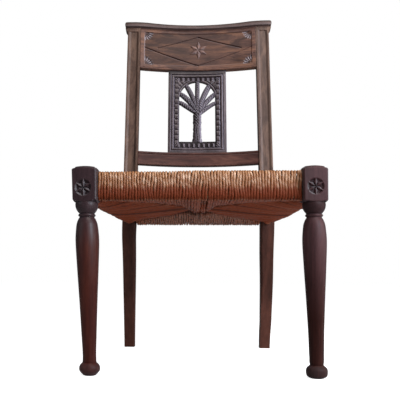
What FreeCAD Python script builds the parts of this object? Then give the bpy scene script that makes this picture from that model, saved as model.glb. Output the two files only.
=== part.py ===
"""A carved side chair with a woven rush seat, as its separate wooden and rush pieces.

Millimetres. The front faces -Y, +Z is up, and the origin is on the floor under the middle of the chair.
Left and right are as seen from the front, so the right is +X.
"""
import FreeCAD, Part
import math
import os
import Sketcher

# Driving dimensions, one per cell of the sheet.
DIMENSIONS = {
    # front legs: square block, turned leg, bun foot
    "front_width": 526.0,
    "block_side": 48.0,
    "block_drop": 61.8,
    "block_shoulder_rise": 2.5,
    "block_crown_rise": 9.4,
    "block_edge_radius": 2.5,
    "pommel_rise": 5.5,
    "foot_radius": 21.6,
    "foot_flat_radius": 13.5,
    "foot_height": 28.0,
    "ankle_radius": 14.3,
    "shaft_radius": 17.9,
    "hip_radius": 23.3,
    "vase_length": 81.0,
    "vase_radius": 25.0,
    "vase_shoulder_radius": 21.4,
    "neck_drop": 19.0,
    "neck_radius": 15.3,
    "ring_radius": 17.6,
    "ring_height": 7.5,
    "cup_height": 26.2,
    "cup_radius": 24.0,
    "cup_waist_radius": 22.3,
    "rosette_radius": 18.0,
    "rosette_depth": 4.5,
    "rosette_rise": 29.3,
    "rosette_star_radius": 17.0,
    "rosette_star_waist": 5.2,
    "rosette_star_rise": 3.6,
    "star_sink": 1.5,
    # rear legs: splayed foot and raked stile in one piece
    "rear_width": 415.2,
    "stile_width": 37.6,
    "foot_width": 28.5,
    "taper_drop": 55.0,
    "knee_setback": 410.0,
    "knee_drop": 30.5,
    "knee_depth": 34.0,
    "knee_radius": 500.0,
    "stile_length": 547.5,
    "stile_top_depth": 26.0,
    "leg_end_depth": 28.0,
    "back_angle": 9.3,
    "splay_angle": 13.7,
    # seat frame and rush
    "seat_height": 425.5,
    "seat_thickness": 59.0,
    "seat_slope_angle": 2.57,
    "cord_layer": 5.5,
    "rush_setback": 14.0,
    "rush_round": 13.0,
    "rush_clearance": 0.3,
    "rush_end_gap": 2.0,
    "seat_rail_thickness": 20.0,
    "seat_rail_round": 4.0,
    "rear_rail_offset": 10.0,
    "side_rail_inset": 23.0,
    "side_rail_rear_inset": 25.6,
    "seat_tenon_thickness": 9.0,
    "seat_tenon_height": 19.0,
    "seat_tenon_gap": 2.0,
    "seat_tenon_length": 24.0,
    "wad_thickness": 36.0,
    "wad_border": 9.0,
    # back boards, bent to one curve in plan
    "back_hollow": 17.5,
    "board_setback": 1.5,
    "crest_height": 125.0,
    "crest_thickness": 18.0,
    "crest_star_drop": 63.4,
    "crest_star_radius": 26.5,
    "crest_star_waist": 7.4,
    "crest_star_rise": 3.0,
    "lower_rail_bottom": 124.5,
    "lower_rail_height": 36.5,
    "lower_rail_thickness": 15.0,
    "board_tenon_thickness": 8.0,
    "board_tenon_length": 22.0,
    "board_tenon_root": 8.0,
    "board_tenon_edge": 6.0,
    # splat: pierced board with a palm tree in an arched window
    "splat_width": 165.0,
    "splat_setback": 2.0,
    "splat_thickness": 13.0,
    "splat_tenon_width": 80.0,
    "splat_tenon_length": 12.0,
    "window_half": 51.6,
    "window_sill": 33.0,
    "window_head": 37.9,
    "trunk_base_width": 27.0,
    "trunk_top_width": 23.0,
    "palm_thickness": 9.0,
    "frond_width": 15.5,
    "frond_overlap": 12.0,
    # crest cap: moulding over stiles and crest rail
    "cap_band_height": 2.0,
    "cap_band_flare": 3.0,
    "cap_cove_height": 1.5,
    "cap_cove_flare": 2.0,
    "cap_nosing_height": 9.0,
    "cap_overhang": 8.0,
    "cap_nosing_round": 3.5,
    "cap_blend": 26.0,
    "cap_tenon_side": 14.0,
    "cap_tenon_length": 8.0,
    # tool length past a surface that is cut
    "overrun": 5.0,
}

# A tangent arc passes this share of the way from a corner to its chord.
ARC_SAG_SHARE = 0.5055

# The foot is widest at this share of its height.
FOOT_BULGE_SHARE = 0.464

# The palm's trunk rises by this share of the window's upright side.
TRUNK_SHARE = 0.66

# Fronds on one side of the palm, lowest first. Root beside and above the trunk's top, as shares of its half
# width, then tip beside and above the arch's centre, as shares of the arch's radius.
FROND_SHARES = [(0.70, -0.43, 1.20, -0.244), (0.52, 0.87, 1.124, 0.293), (0.35, 2.09, 0.853, 0.961)]

# Stuffing wads: how far their inner corners stop short of the seat's middle, as a share of the way.
WAD_POINT_SHARE = 0.06
WAD_CORNER_SHARE = 0.90

doc = FreeCAD.newDocument("lamu_chair")
sheet = doc.addObject("Spreadsheet::Sheet", "Sizes")


class Size:
    """A number together with the text of the formula that gives it, so that a formula is written once."""

    def __init__(self, value, text):
        self.value = value
        self.text = text

    @staticmethod
    def of(thing):
        return thing if isinstance(thing, Size) else Size(float(thing), repr(thing))

    def __add__(self, other):
        other = Size.of(other)
        return Size(self.value + other.value, f"({self.text} + {other.text})")

    def __sub__(self, other):
        other = Size.of(other)
        return Size(self.value - other.value, f"({self.text} - {other.text})")

    def __mul__(self, other):
        other = Size.of(other)
        return Size(self.value * other.value, f"({self.text} * {other.text})")

    def __truediv__(self, other):
        other = Size.of(other)
        return Size(self.value / other.value, f"({self.text} / {other.text})")

    def __neg__(self):
        return Size(-self.value, f"(0 - {self.text})")


def sine(angle):
    return Size(math.sin(math.radians(angle.value)), f"sin({angle.text})")


def cosine(angle):
    return Size(math.cos(math.radians(angle.value)), f"cos({angle.text})")


def tangent(angle):
    return Size(math.tan(math.radians(angle.value)), f"tan({angle.text})")


def root(square):
    return Size(math.sqrt(square.value), f"sqrt({square.text})")


def angle_of(rise, run):
    return Size(math.degrees(math.atan2(rise.value, run.value)), f"(atan2({rise.text}; {run.text}) / 1 deg)")


def larger(one, other):
    return Size(max(one.value, other.value), f"max({one.text}; {other.text})")


ZERO = Size(0.0, "0")
SIZE = {}
for row, (alias, number) in enumerate(DIMENSIONS.items(), start=1):
    sheet.set(f"A{row}", alias)
    sheet.set(f"B{row}", str(number))
    sheet.setAlias(f"B{row}", alias)
    SIZE[alias] = Size(number, f"Sizes.{alias}")
doc.recompute()


def size(alias):
    return SIZE[alias]


# Frames: a place in the chair, as the text of a placement expression.

def frame(x, y, z, turn="rotationz(0)"):
    return f"placement(vector({x.text}; {y.text}; {z.text}); {turn})"


def place(thing, frame_text):
    thing.setExpression("Placement", frame_text)
    return thing


block_bottom = size("seat_height") - size("block_drop")
block_shoulder = size("seat_height") + size("block_shoulder_rise")
block_crown = block_shoulder + size("block_crown_rise")
knee_height = size("seat_height") - size("knee_drop")
crest_bottom = size("stile_length") - size("crest_height")
inner_half = size("rear_width") / 2 - size("stile_width")
hollow = size("back_hollow")
curve_radius = (inner_half * inner_half + hollow * hollow) / (hollow * 2)
stile_face = size("stile_top_depth") / 2
board_front = size("board_setback") - stile_face
cap_top = (size("stile_length") + size("cap_band_height") + size("cap_cove_height")
           + size("cap_nosing_height"))
cap_rear = stile_face + hollow + size("cap_overhang")
leg_rear = (size("knee_setback") + knee_height * tangent(size("splay_angle"))
            + size("leg_end_depth") / 2)
overall_depth = larger(
    leg_rear,
    size("knee_setback") + cap_top * sine(size("back_angle")) + cap_rear * cosine(size("back_angle")),
)
front_shift = -(overall_depth / 2)
rail_height = size("seat_thickness") - size("cord_layer") * 2

BACK = frame(ZERO, front_shift + size("knee_setback"), knee_height,
             f"rotationx(0 - {size('back_angle').text})")
SEAT = frame(ZERO, front_shift, size("seat_height") - size("seat_thickness") / 2,
             f"rotationx(0 - {size('seat_slope_angle').text})")


# Building blocks shared by the pieces.

def body_in(name, frame_text):
    return place(doc.addObject("PartDesign::Body", name), frame_text)


def constrain_point(sketch, geometry, end, u, v):
    """Holds one point of a sketch at (u, v), both bound to the sheet."""
    for kind, coordinate in (("DistanceX", u), ("DistanceY", v)):
        rule = sketch.addConstraint(Sketcher.Constraint(kind, -1, 1, geometry, end, coordinate.value))
        sketch.setExpression(f"Constraints[{rule}]", coordinate.text)


def through(u, v):
    """Marks a path point as one that an arc passes through between its neighbours."""
    return ("arc", u, v)


def outline(body, name, plane, path, offset=None):
    """Draws a closed outline of lines and arcs on an origin plane of the body."""
    sketch = body.newObject("Sketcher::SketchObject", name)
    support = next(item for item in body.Origin.OriginFeatures if item.Role == plane)
    sketch.AttachmentSupport = (support, [""])
    sketch.MapMode = "FlatFace"
    if offset is not None:
        sketch.setExpression("AttachmentOffset.Base.z", offset.text)
    corners = [point for point in path if point[0] != "arc"]
    arcs = {}
    seen = -1
    for point in path:
        if point[0] == "arc":
            arcs[seen] = point[1:]
        else:
            seen += 1
    joints = []
    count = len(corners)
    for index, (u, v) in enumerate(corners):
        following = corners[(index + 1) % count]
        start = FreeCAD.Vector(u.value, v.value, 0)
        end = FreeCAD.Vector(following[0].value, following[1].value, 0)
        if index not in arcs:
            sketch.addGeometry(Part.LineSegment(start, end), False)
            joints.append((1, 2))
            continue
        middle = FreeCAD.Vector(arcs[index][0].value, arcs[index][1].value, 0)
        clockwise = (middle - start).cross(end - middle).z < 0
        ends = (end, start) if clockwise else (start, end)
        circle = Part.Arc(ends[0], middle, ends[1]).toShape().Curve
        centre = circle.Center
        angles = [math.atan2(point.y - centre.y, point.x - centre.x) for point in ends]
        if angles[1] < angles[0]:
            angles[1] += 2 * math.pi
        base = Part.Circle(centre, FreeCAD.Vector(0, 0, 1), circle.Radius)
        sketch.addGeometry(Part.ArcOfCircle(base, angles[0], angles[1]), False)
        joints.append((2, 1) if clockwise else (1, 2))
    for index in range(count):
        following = (index + 1) % count
        sketch.addConstraint(Sketcher.Constraint("Coincident", index, joints[index][1],
                                                 following, joints[following][0]))
    for index, (u, v) in enumerate(corners):
        constrain_point(sketch, index, joints[index][0], u, v)
    for index, (u, v) in arcs.items():
        marker = sketch.addGeometry(Part.Point(FreeCAD.Vector(u.value, v.value, 0)), True)
        constrain_point(sketch, marker, 1, u, v)
        sketch.addConstraint(Sketcher.Constraint("PointOnObject", marker, 1, index))
    return sketch


def circle_outline(body, name, plane, v, radius, offset):
    sketch = body.newObject("Sketcher::SketchObject", name)
    support = next(item for item in body.Origin.OriginFeatures if item.Role == plane)
    sketch.AttachmentSupport = (support, [""])
    sketch.MapMode = "FlatFace"
    sketch.setExpression("AttachmentOffset.Base.z", offset.text)
    centre = FreeCAD.Vector(0, v.value, 0)
    sketch.addGeometry(Part.Circle(centre, FreeCAD.Vector(0, 0, 1), radius.value), False)
    constrain_point(sketch, 0, 3, ZERO, v)
    rule = sketch.addConstraint(Sketcher.Constraint("Radius", 0, radius.value))
    sketch.setExpression(f"Constraints[{rule}]", radius.text)
    return sketch


def extrude(body, kind, name, sketch, length, both_ways=False, back=False):
    """Adds a Pad or a Pocket of the sketch to the body."""
    feature = body.newObject(f"PartDesign::{kind}", name)
    feature.Profile = sketch
    feature.SideType = "Symmetric" if both_ways else "One side"
    feature.Reversed = back
    feature.setExpression("Length", length.text)
    doc.recompute()
    return feature


def turn(body, kind, name, sketch):
    """Adds a Revolution or a Groove about the body's upright axis."""
    feature = body.newObject(f"PartDesign::{kind}", name)
    feature.Profile = sketch
    feature.ReferenceAxis = (sketch, ["V_Axis"])
    feature.Angle = 360.0
    doc.recompute()
    return feature


def round_edges(body, name, base, radius, wanted):
    """Fillets the edges of the base feature whose middle point the test wants."""
    edges = []
    for index, edge in enumerate(base.Shape.Edges, start=1):
        middle = edge.valueAt((edge.FirstParameter + edge.LastParameter) / 2)
        if wanted(edge, middle):
            edges.append(f"Edge{index}")
    fillet = body.newObject("PartDesign::Fillet", name)
    fillet.Base = (base, edges)
    fillet.setExpression("Radius", radius.text)
    doc.recompute()
    return fillet


def block(name, width, depth, height, frame_text, x=None, y=None, z=None):
    """A box centred on (x, y, z) of a frame."""
    centre = [ZERO if item is None else item for item in (x, y, z)]
    corner = [middle - side / 2 for middle, side in zip(centre, (width, depth, height))]
    box = doc.addObject("Part::Box", name)
    for label, side in (("Length", width), ("Width", depth), ("Height", height)):
        box.setExpression(label, side.text)
    return place(box, f"{frame_text} * {frame(*corner)}")


def join(name, pieces):
    fusion = doc.addObject("Part::MultiFuse", name)
    fusion.Shapes = pieces
    fusion.Refine = True
    return fusion


def cut(name, base, tools):
    """The base less its tools."""
    whole = doc.addObject("Part::Cut", name)
    whole.Base = base
    whole.Tool = tools[0] if len(tools) == 1 else join(f"{name}_tools", tools)
    return whole


def mirrored(name, source):
    copy = doc.addObject("Part::Mirroring", name)
    copy.Source = source
    copy.Normal = FreeCAD.Vector(1, 0, 0)
    return copy


def star(name, radius, waist, rise, sink, frame_text):
    """A raised six-point star on an XZ face, ridged along each point, with its foot sunk into the wood."""
    rim = []
    for step in range(12):
        reach = radius.value if step % 2 == 0 else waist.value
        angle = math.radians(90 + 30 * step)
        rim.append((reach * math.cos(angle), reach * math.sin(angle)))
    crown = FreeCAD.Vector(0, -rise.value, 0)
    front = [FreeCAD.Vector(x, 0, z) for x, z in rim]
    foot = [FreeCAD.Vector(x, sink.value, z) for x, z in rim]
    faces = [Part.Face(Part.makePolygon(foot + foot[:1]))]
    for step in range(12):
        following = (step + 1) % 12
        faces.append(Part.Face(Part.makePolygon([front[step], front[following], crown, front[step]])))
        side = [front[step], front[following], foot[following], foot[step], front[step]]
        faces.append(Part.Face(Part.makePolygon(side)))
    feature = doc.addObject("Part::Feature", name)
    feature.Shape = Part.makeSolid(Part.makeShell(faces))
    return place(feature, frame_text)


# Front legs.

half_block = size("block_side") / 2
rosette_height = block_bottom + size("rosette_rise")
leg_x = size("front_width") / 2 - half_block
LEFT_LEG = frame(-leg_x, front_shift + half_block, ZERO)


def front_leg_blank():
    leg = body_in("front_leg_blank", LEFT_LEG)
    bottom = block_bottom
    shoulder = block_shoulder
    crown = block_crown
    face = outline(leg, "block_face", "XZ_Plane", [
        (-half_block, bottom), (half_block, bottom), (half_block, shoulder),
        through(ZERO, crown), (-half_block, shoulder)])
    squared = extrude(leg, "Pad", "block", face, size("block_side"), both_ways=True)
    corner = half_block.value
    near = size("block_edge_radius").value / 10

    def upright(edge, middle):
        return abs(abs(middle.x) - corner) < near and abs(abs(middle.y) - corner) < near

    round_edges(leg, "block_edges", squared, size("block_edge_radius"), upright)
    waste = outline(leg, "crown_waste", "YZ_Plane", [
        (-half_block, shoulder), through(ZERO, crown), (half_block, shoulder),
        (half_block, crown + size("overrun")), (-half_block, crown + size("overrun"))])
    extrude(leg, "Pocket", "crown", waste, size("block_side") * 2, both_ways=True)
    reach = size("block_side")
    pommel = outline(leg, "pommel_waste", "XZ_Plane", [
        (size("cup_radius"), bottom), (reach, bottom + size("pommel_rise") * (reach - size("cup_radius"))
                                       / (half_block * math.sqrt(2) - size("cup_radius"))),
        (reach, bottom - size("overrun")), (size("cup_radius"), bottom - size("overrun"))])
    turn(leg, "Groove", "pommel", pommel)
    ring_top = bottom - size("cup_height")
    ring_bottom = ring_top - size("ring_height")
    vase_top = ring_bottom - size("neck_drop")
    vase_bottom = vase_top - size("vase_length")
    ankle = size("foot_height")
    profile = outline(leg, "turning", "XZ_Plane", [
        (ZERO, ZERO), (size("foot_flat_radius"), ZERO),
        through(size("foot_radius"), ankle * FOOT_BULGE_SHARE),
        (size("ankle_radius"), ankle),
        through(size("shaft_radius"), (ankle + vase_bottom) / 2),
        (size("hip_radius"), vase_bottom),
        through(size("vase_radius"), (vase_bottom + vase_top) / 2),
        (size("vase_shoulder_radius"), vase_top),
        (size("neck_radius"), ring_bottom),
        through(size("ring_radius"), (ring_bottom + ring_top) / 2),
        (size("neck_radius"), ring_top),
        through(size("cup_waist_radius"), (ring_top + bottom) / 2),
        (size("cup_radius"), bottom), (ZERO, bottom)])
    turn(leg, "Revolution", "turned_leg", profile)
    rosette = circle_outline(leg, "rosette_rim", "XZ_Plane", rosette_height,
                             size("rosette_radius"), half_block)
    extrude(leg, "Pocket", "rosette", rosette, size("rosette_depth"))
    return leg


# Rear legs.

def rear_leg_blank():
    leg = body_in("rear_leg_blank", frame(-(size("rear_width") / 2), front_shift, ZERO))
    rake = size("back_angle")
    splay = size("splay_angle")
    reach = size("knee_radius") * tangent((rake + splay) / 2)
    drop = knee_height
    edges = []
    for side in (-1, 1):
        knee = (size("knee_setback") + size("knee_depth") / 2 * side, drop)
        top_edge = stile_face * side
        top = (size("knee_setback") + size("stile_length") * sine(rake) + top_edge * cosine(rake),
               drop + size("stile_length") * cosine(rake) - top_edge * sine(rake))
        floor = (size("knee_setback") + drop * tangent(splay) + size("leg_end_depth") / 2 * side, ZERO)
        upper = tuple(knee[axis] + (top[axis] - knee[axis]) * reach / size("stile_length") for axis in (0, 1))
        lower = tuple(knee[axis] + (floor[axis] - knee[axis]) * reach / (drop / cosine(splay))
                      for axis in (0, 1))
        bend = tuple(knee[axis] + ((upper[axis] + lower[axis]) / 2 - knee[axis]) * ARC_SAG_SHARE
                     for axis in (0, 1))
        edges.append((top, upper, bend, lower, floor))
    front, back = edges
    profile = outline(leg, "side_profile", "YZ_Plane", [
        front[0], front[1], through(*front[2]), front[3], front[4],
        back[4], back[3], through(*back[2]), back[1], back[0]])
    extrude(leg, "Pad", "plank", profile, size("stile_width"))
    over = size("overrun")
    taper_height = knee_height - size("taper_drop")
    waste = outline(leg, "taper_waste", "XZ_Plane", [
        (size("stile_width"), taper_height), (size("foot_width"), ZERO),
        (size("foot_width"), -over), (size("stile_width") + over, -over),
        (size("stile_width") + over, taper_height)])
    extrude(leg, "Pocket", "taper", waste, overall_depth * 3, both_ways=True)
    return leg


# Seat rails, each a rounded bar with a thinner tenon running through it from post to post.

rush_front = size("rush_setback")
front_rail_y = rush_front + size("cord_layer") + size("seat_rail_thickness") / 2
tenon_drop = (size("seat_tenon_height") + size("seat_tenon_gap")) / 2
block_inner = size("front_width") / 2 - size("block_side")
rear_rail_y = size("knee_setback") + size("rear_rail_offset")
side_front_half = size("front_width") / 2 - size("side_rail_inset")
side_rear_half = size("rear_width") / 2 - size("side_rail_rear_inset")
side_run = rear_rail_y - half_block
side_lean = side_front_half - side_rear_half
side_angle = angle_of(side_lean, side_run)
side_length = root(side_run * side_run + side_lean * side_lean)
SIDE = f"{SEAT} * {frame(-side_front_half, half_block, ZERO, f'rotationz(0 - {side_angle.text})')}"


def bar_parts(name, along, length, frame_text, centre, tenon_length, tenon_side):
    """A seat rail's bar, its tenon, and the space that the rush leaves for the bar."""
    thick, tall = size("seat_rail_thickness"), rail_height
    grow = size("rush_clearance") * 2
    sides = (length, thick) if along == "x" else (thick, length)
    spaces = tuple(side + grow for side in sides)
    bar = block(f"{name}_bar", *sides, tall, frame_text, *centre)
    space = block(f"{name}_space", *spaces, tall + grow, frame_text, *centre)
    rounded = doc.addObject("Part::Fillet", f"{name}_rounded")
    rounded.Base = bar
    doc.recompute()
    radius = size("seat_rail_round").value
    direction = bar.Placement.Rotation.multVec(FreeCAD.Vector(*((1, 0, 0) if along == "x" else (0, 1, 0))))
    chosen = []
    for index, edge in enumerate(bar.Shape.Edges, start=1):
        if abs(abs(edge.tangentAt(edge.FirstParameter).dot(direction)) - 1) < 1e-6:
            chosen.append((index, radius, radius))
    rounded.Edges = chosen
    thin = size("seat_tenon_thickness")
    tenon_sides = (tenon_length, thin) if along == "x" else (thin, tenon_length)
    tenon = block(f"{name}_tenon", *tenon_sides, size("seat_tenon_height"), frame_text,
                  centre[0], centre[1], tenon_drop * tenon_side)
    return rounded, tenon, space


def seat_rail(name, bar, tenon, posts):
    """A seat rail with its shoulders scribed to the posts."""
    return join(name, [cut(f"{name}_shoulders", bar, posts), tenon])


# Curved back boards. All follow one curve in plan, drawn in the frame of the raked stiles.

def hollow_at(x):
    """How far behind the board's shoulder its front lies at x."""
    return hollow - curve_radius + root(curve_radius * curve_radius - x * x)


def board_plan(half, front, thickness):
    """The plan of a board of the given half length between two concentric-looking curves."""
    near = front + hollow_at(half)
    middle = front + hollow
    return [(-half, near), through(ZERO, middle), (half, near),
            (half, near + thickness), through(ZERO, middle + thickness), (-half, near + thickness)]


def board_tenon(name, thickness, bottom, height):
    """The left end tenon of a back board."""
    length = size("board_tenon_length") + size("board_tenon_root")
    x = -(inner_half + size("board_tenon_length") - length / 2)
    y = board_front + thickness / 2
    return block(name, length, size("board_tenon_thickness"), height - size("board_tenon_edge") * 2,
                 BACK, x, y, bottom + height / 2)


def curved_board(name, thickness, bottom, height):
    board = body_in(f"{name}_board", BACK)
    plan = outline(board, f"{name}_plan", "XY_Plane", board_plan(inner_half, board_front, thickness), bottom)
    extrude(board, "Pad", f"{name}_pad", plan, height)
    return board


# Splat.

splat_bottom = size("lower_rail_bottom") + size("lower_rail_height")
splat_height = crest_bottom - splat_bottom
splat_front = board_front + size("splat_setback")
splat_middle = splat_front + hollow + size("splat_thickness") / 2


def frond_path(from_x, from_z, to_x, to_z):
    """A leaf between two points, bounded by two arcs."""
    run = to_x - from_x
    climb = to_z - from_z
    length = root(run * run + climb * climb)
    half = size("frond_width") / 2
    across = (climb / length * half, -(run / length * half))
    middle = ((from_x + to_x) / 2, (from_z + to_z) / 2)
    return [(from_x, from_z), through(middle[0] + across[0], middle[1] + across[1]),
            (to_x, to_z), through(middle[0] - across[0], middle[1] - across[1])]


def splat_board():
    board = body_in("splat_board", BACK)
    half = size("splat_width") / 2
    plan = outline(board, "splat_plan", "XY_Plane", board_plan(half, splat_front, size("splat_thickness")),
                   splat_bottom)
    extrude(board, "Pad", "splat_pad", plan, splat_height)
    sill = splat_bottom + size("window_sill")
    side = size("window_half")
    spring = crest_bottom - size("window_head") - side
    window = outline(board, "window_outline", "XZ_Plane", [
        (-side, sill), (side, sill), (side, spring), through(ZERO, spring + side), (-side, spring)])
    extrude(board, "Pocket", "window", window, overall_depth, both_ways=True)
    base = size("trunk_base_width") / 2
    top = size("trunk_top_width") / 2
    lap = size("frond_overlap")
    crown = sill + (spring - sill) * TRUNK_SHARE
    trunk = outline(board, "trunk_outline", "XZ_Plane", [
        (-base, sill - lap), (base, sill - lap), (top, crown), (-top, crown)], -splat_middle)
    extrude(board, "Pad", "trunk", trunk, size("palm_thickness"), both_ways=True)
    leaves = [("middle_frond", ZERO, crown - top, ZERO, spring + side + lap)]
    for number, (root_x, root_z, tip_x, tip_z) in enumerate(FROND_SHARES, start=1):
        for label, hand in (("left", -1), ("right", 1)):
            leaves.append((f"{label}_frond_{number}", top * root_x * hand, crown + top * root_z,
                           side * tip_x * hand, spring + side * tip_z))
    for label, from_x, from_z, to_x, to_z in leaves:
        leaf = outline(board, f"{label}_outline", "XZ_Plane",
                       frond_path(from_x, from_z, to_x, to_z), -splat_middle)
        extrude(board, "Pad", label, leaf, size("palm_thickness"), both_ways=True)
    return board


def splat_tenon(name, height):
    """A tenon across the splat's lower or upper edge, half in the board and half in the rail."""
    length = size("splat_tenon_length") * 2
    return block(name, size("splat_tenon_width"), size("board_tenon_thickness"), length, BACK,
                 ZERO, splat_middle, height)


# Crest cap.

def cap_plan(grow):
    """The cap's plan, straight over the stiles and hollow between them, grown on all sides."""
    end = size("rear_width") / 2 + grow
    blend = size("cap_blend")
    path = []
    for face, order in ((-(stile_face + grow), 1), (stile_face + grow, -1)):
        far = inner_half - blend
        on_curve = face + hollow_at(far)
        corner = (inner_half, face)
        outer = (inner_half + blend, face)
        bend = tuple(corner[axis] + ((outer[axis] + (far, on_curve)[axis]) / 2 - corner[axis]) * ARC_SAG_SHARE
                     for axis in (0, 1))
        half_path = [(end, face), outer, through(*bend), (far, on_curve)]
        left = [(point[0], -point[1], point[2]) if point[0] == "arc" else (-point[0], point[1])
                for point in half_path]
        right = list(reversed(half_path))
        edge = left + [through(ZERO, face + hollow)] + right
        path += edge if order == 1 else list(reversed(edge))
    return path


def crest_cap_moulding():
    cap = body_in("crest_cap_moulding", BACK)
    level = size("stile_length")
    band_top = level + size("cap_band_height")
    under = outline(cap, "band_foot", "XY_Plane", cap_plan(ZERO), level)
    over = outline(cap, "band_head", "XY_Plane", cap_plan(size("cap_band_flare")), band_top)
    band = cap.newObject("PartDesign::AdditiveLoft", "band")
    band.Profile = under
    band.Sections = [over]
    band.Ruled = True
    doc.recompute()
    cove = outline(cap, "cove_plan", "XY_Plane", cap_plan(size("cap_cove_flare")), band_top)
    extrude(cap, "Pad", "cove", cove, size("cap_cove_height"))
    nosing_bottom = band_top + size("cap_cove_height")
    plan = outline(cap, "nosing_plan", "XY_Plane", cap_plan(size("cap_overhang")), nosing_bottom)
    nosing = extrude(cap, "Pad", "nosing", plan, size("cap_nosing_height"))
    top = nosing_bottom.value + size("cap_nosing_height").value

    def rim(edge, middle):
        return abs(middle.z - top) < 1e-4

    round_edges(cap, "nosing_edges", nosing, size("cap_nosing_round"), rim)
    return cap


def stile_tenon():
    """The stub on a stile's top that the cap is glued over."""
    side = size("cap_tenon_side")
    length = size("cap_tenon_length")
    return block("stile_stub", side, side, length * 2, BACK,
                 -(size("rear_width") / 2 - size("stile_width") / 2), ZERO, size("stile_length"))


# Rush seat and its stuffing.

def side_outer(y):
    """Where the outside of the rush lies at a distance y behind the chair's front, in the seat's frame."""
    centre = side_front_half - side_lean * (y - half_block) / side_run
    return centre + (size("seat_rail_thickness") / 2 + size("cord_layer")) / cosine(side_angle)


def rush_blank():
    rush = body_in("rush_blank", SEAT)
    gap = size("rush_clearance")
    front_corner = block_inner - gap
    notch = size("block_side") + size("rush_end_gap")
    flex = size("knee_radius") / cosine((size("back_angle") + size("splay_angle")) / 2) - size("knee_radius")
    leg_front = size("knee_setback") - size("knee_depth") / 2 + flex - size("rush_end_gap")
    rear = rear_rail_y + size("seat_rail_thickness") / 2 + size("cord_layer")
    rear_corner = inner_half - gap
    half = [(front_corner, rush_front), (front_corner, notch), (side_outer(notch), notch),
            (side_outer(leg_front), leg_front), (rear_corner, leg_front), (rear_corner, rear)]
    path = [(-x, y) for x, y in half] + [(x, y) for x, y in reversed(half)]
    plan = outline(rush, "rush_plan", "XY_Plane", path)
    pad = extrude(rush, "Pad", "rush_pad", plan, size("seat_thickness"), both_ways=True)
    near = 1e-3

    def rim(edge, middle):
        if abs(abs(middle.z) - size("seat_thickness").value / 2) > near:
            return False
        on_front = abs(middle.y - rush_front.value) < near
        on_rear = abs(middle.y - rear.value) < near
        slope = (side_outer(leg_front).value + side_outer(notch).value) / 2
        on_side = abs(abs(middle.x) - slope) < near and edge.Length > size("block_side").value
        return on_front or on_rear or on_side

    round_edges(rush, "rush_rolls", pad, size("rush_round"), rim)
    return rush


def wad_path(first, second, middle):
    """A triangle between two corners and the middle of the seat, kept clear of its neighbours."""
    points = [tuple(middle[axis] + (corner[axis] - middle[axis]) * WAD_CORNER_SHARE for axis in (0, 1))
              for corner in (first, second)]
    base = tuple((first[axis] + second[axis]) / 2 for axis in (0, 1))
    tip = tuple(middle[axis] + (base[axis] - middle[axis]) * WAD_POINT_SHARE for axis in (0, 1))
    inward = [tuple(point[axis] + (base[axis] - point[axis]) * WAD_POINT_SHARE for axis in (0, 1))
              for point in points]
    return inward + [tip]


def wad(name, first, second, middle):
    """One wad of dry rush, and the pocket that the cords leave for it."""
    bodies = []
    for label, thickness in ((name, size("wad_thickness")),
                             (f"{name}_pocket", size("wad_thickness") + size("rush_clearance") * 2)):
        body = body_in(label, SEAT)
        plan = outline(body, f"{label}_plan", "XY_Plane", wad_path(first, second, middle))
        extrude(body, "Pad", f"{label}_pad", plan, thickness, both_ways=True)
        bodies.append(body)
    return bodies


# Assembly: tenons are shared by the piece that carries them and the post that they enter.

leg_blank = front_leg_blank()
stile_blank = rear_leg_blank()
other_leg_blank = mirrored("other_front_leg_blank", leg_blank)
other_stile_blank = mirrored("other_rear_leg_blank", stile_blank)
doc.recompute()

front_bar, front_tenon, front_space = bar_parts(
    "front", "x", (block_inner + half_block / 2) * 2, SEAT, (ZERO, front_rail_y, ZERO),
    (block_inner + size("seat_tenon_length")) * 2, -1)
rear_bar, rear_tenon, rear_space = bar_parts(
    "rear", "x", (inner_half + size("stile_width") / 4) * 2, SEAT, (ZERO, rear_rail_y, ZERO),
    (inner_half + size("seat_tenon_length")) * 2, -1)
side_bar, side_tenon, side_space = bar_parts(
    "side", "y", side_length, SIDE, (ZERO, side_length / 2, ZERO), side_length, 1)

rosette_star = star(
    "rosette_star", size("rosette_star_radius"), size("rosette_star_waist"), size("rosette_star_rise"),
    size("star_sink"),
    f"{LEFT_LEG} * {frame(ZERO, size('rosette_depth') - half_block, rosette_height)}")
front_left = join("front_leg_left", [cut("front_leg_mortised", leg_blank, [front_tenon, side_tenon]),
                                     rosette_star])

crest_tenon = board_tenon("crest_tenon", size("crest_thickness"), crest_bottom, size("crest_height"))
other_crest_tenon = mirrored("other_crest_tenon", crest_tenon)
lower_tenon = board_tenon("lower_tenon", size("lower_rail_thickness"), size("lower_rail_bottom"),
                          size("lower_rail_height"))
other_lower_tenon = mirrored("other_lower_tenon", lower_tenon)
stub = stile_tenon()
other_stub = mirrored("other_stile_stub", stub)
rear_left = cut("rear_leg_left", join("rear_leg_with_stub", [stile_blank, stub]),
                [rear_tenon, side_tenon, crest_tenon, lower_tenon])

splat_foot = splat_tenon("splat_foot", splat_bottom)
splat_head = splat_tenon("splat_head", crest_bottom)
crest_board = curved_board("crest", size("crest_thickness"), crest_bottom, size("crest_height"))
crest_star = star(
    "crest_star", size("crest_star_radius"), size("crest_star_waist"), size("crest_star_rise"),
    size("star_sink"),
    f"{BACK} * {frame(ZERO, board_front + hollow, size('stile_length') - size('crest_star_drop'))}")
lower_board = curved_board("lower", size("lower_rail_thickness"), size("lower_rail_bottom"),
                           size("lower_rail_height"))
middle_y = (front_rail_y + rear_rail_y) / 2
seat_middle = (ZERO, middle_y)
border = size("seat_rail_thickness") / 2 + size("wad_border")
front_inside = front_rail_y + border
rear_inside = rear_rail_y - border


def inside_corner(y):
    return side_front_half - side_lean * (y - half_block) / side_run - border


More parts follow.
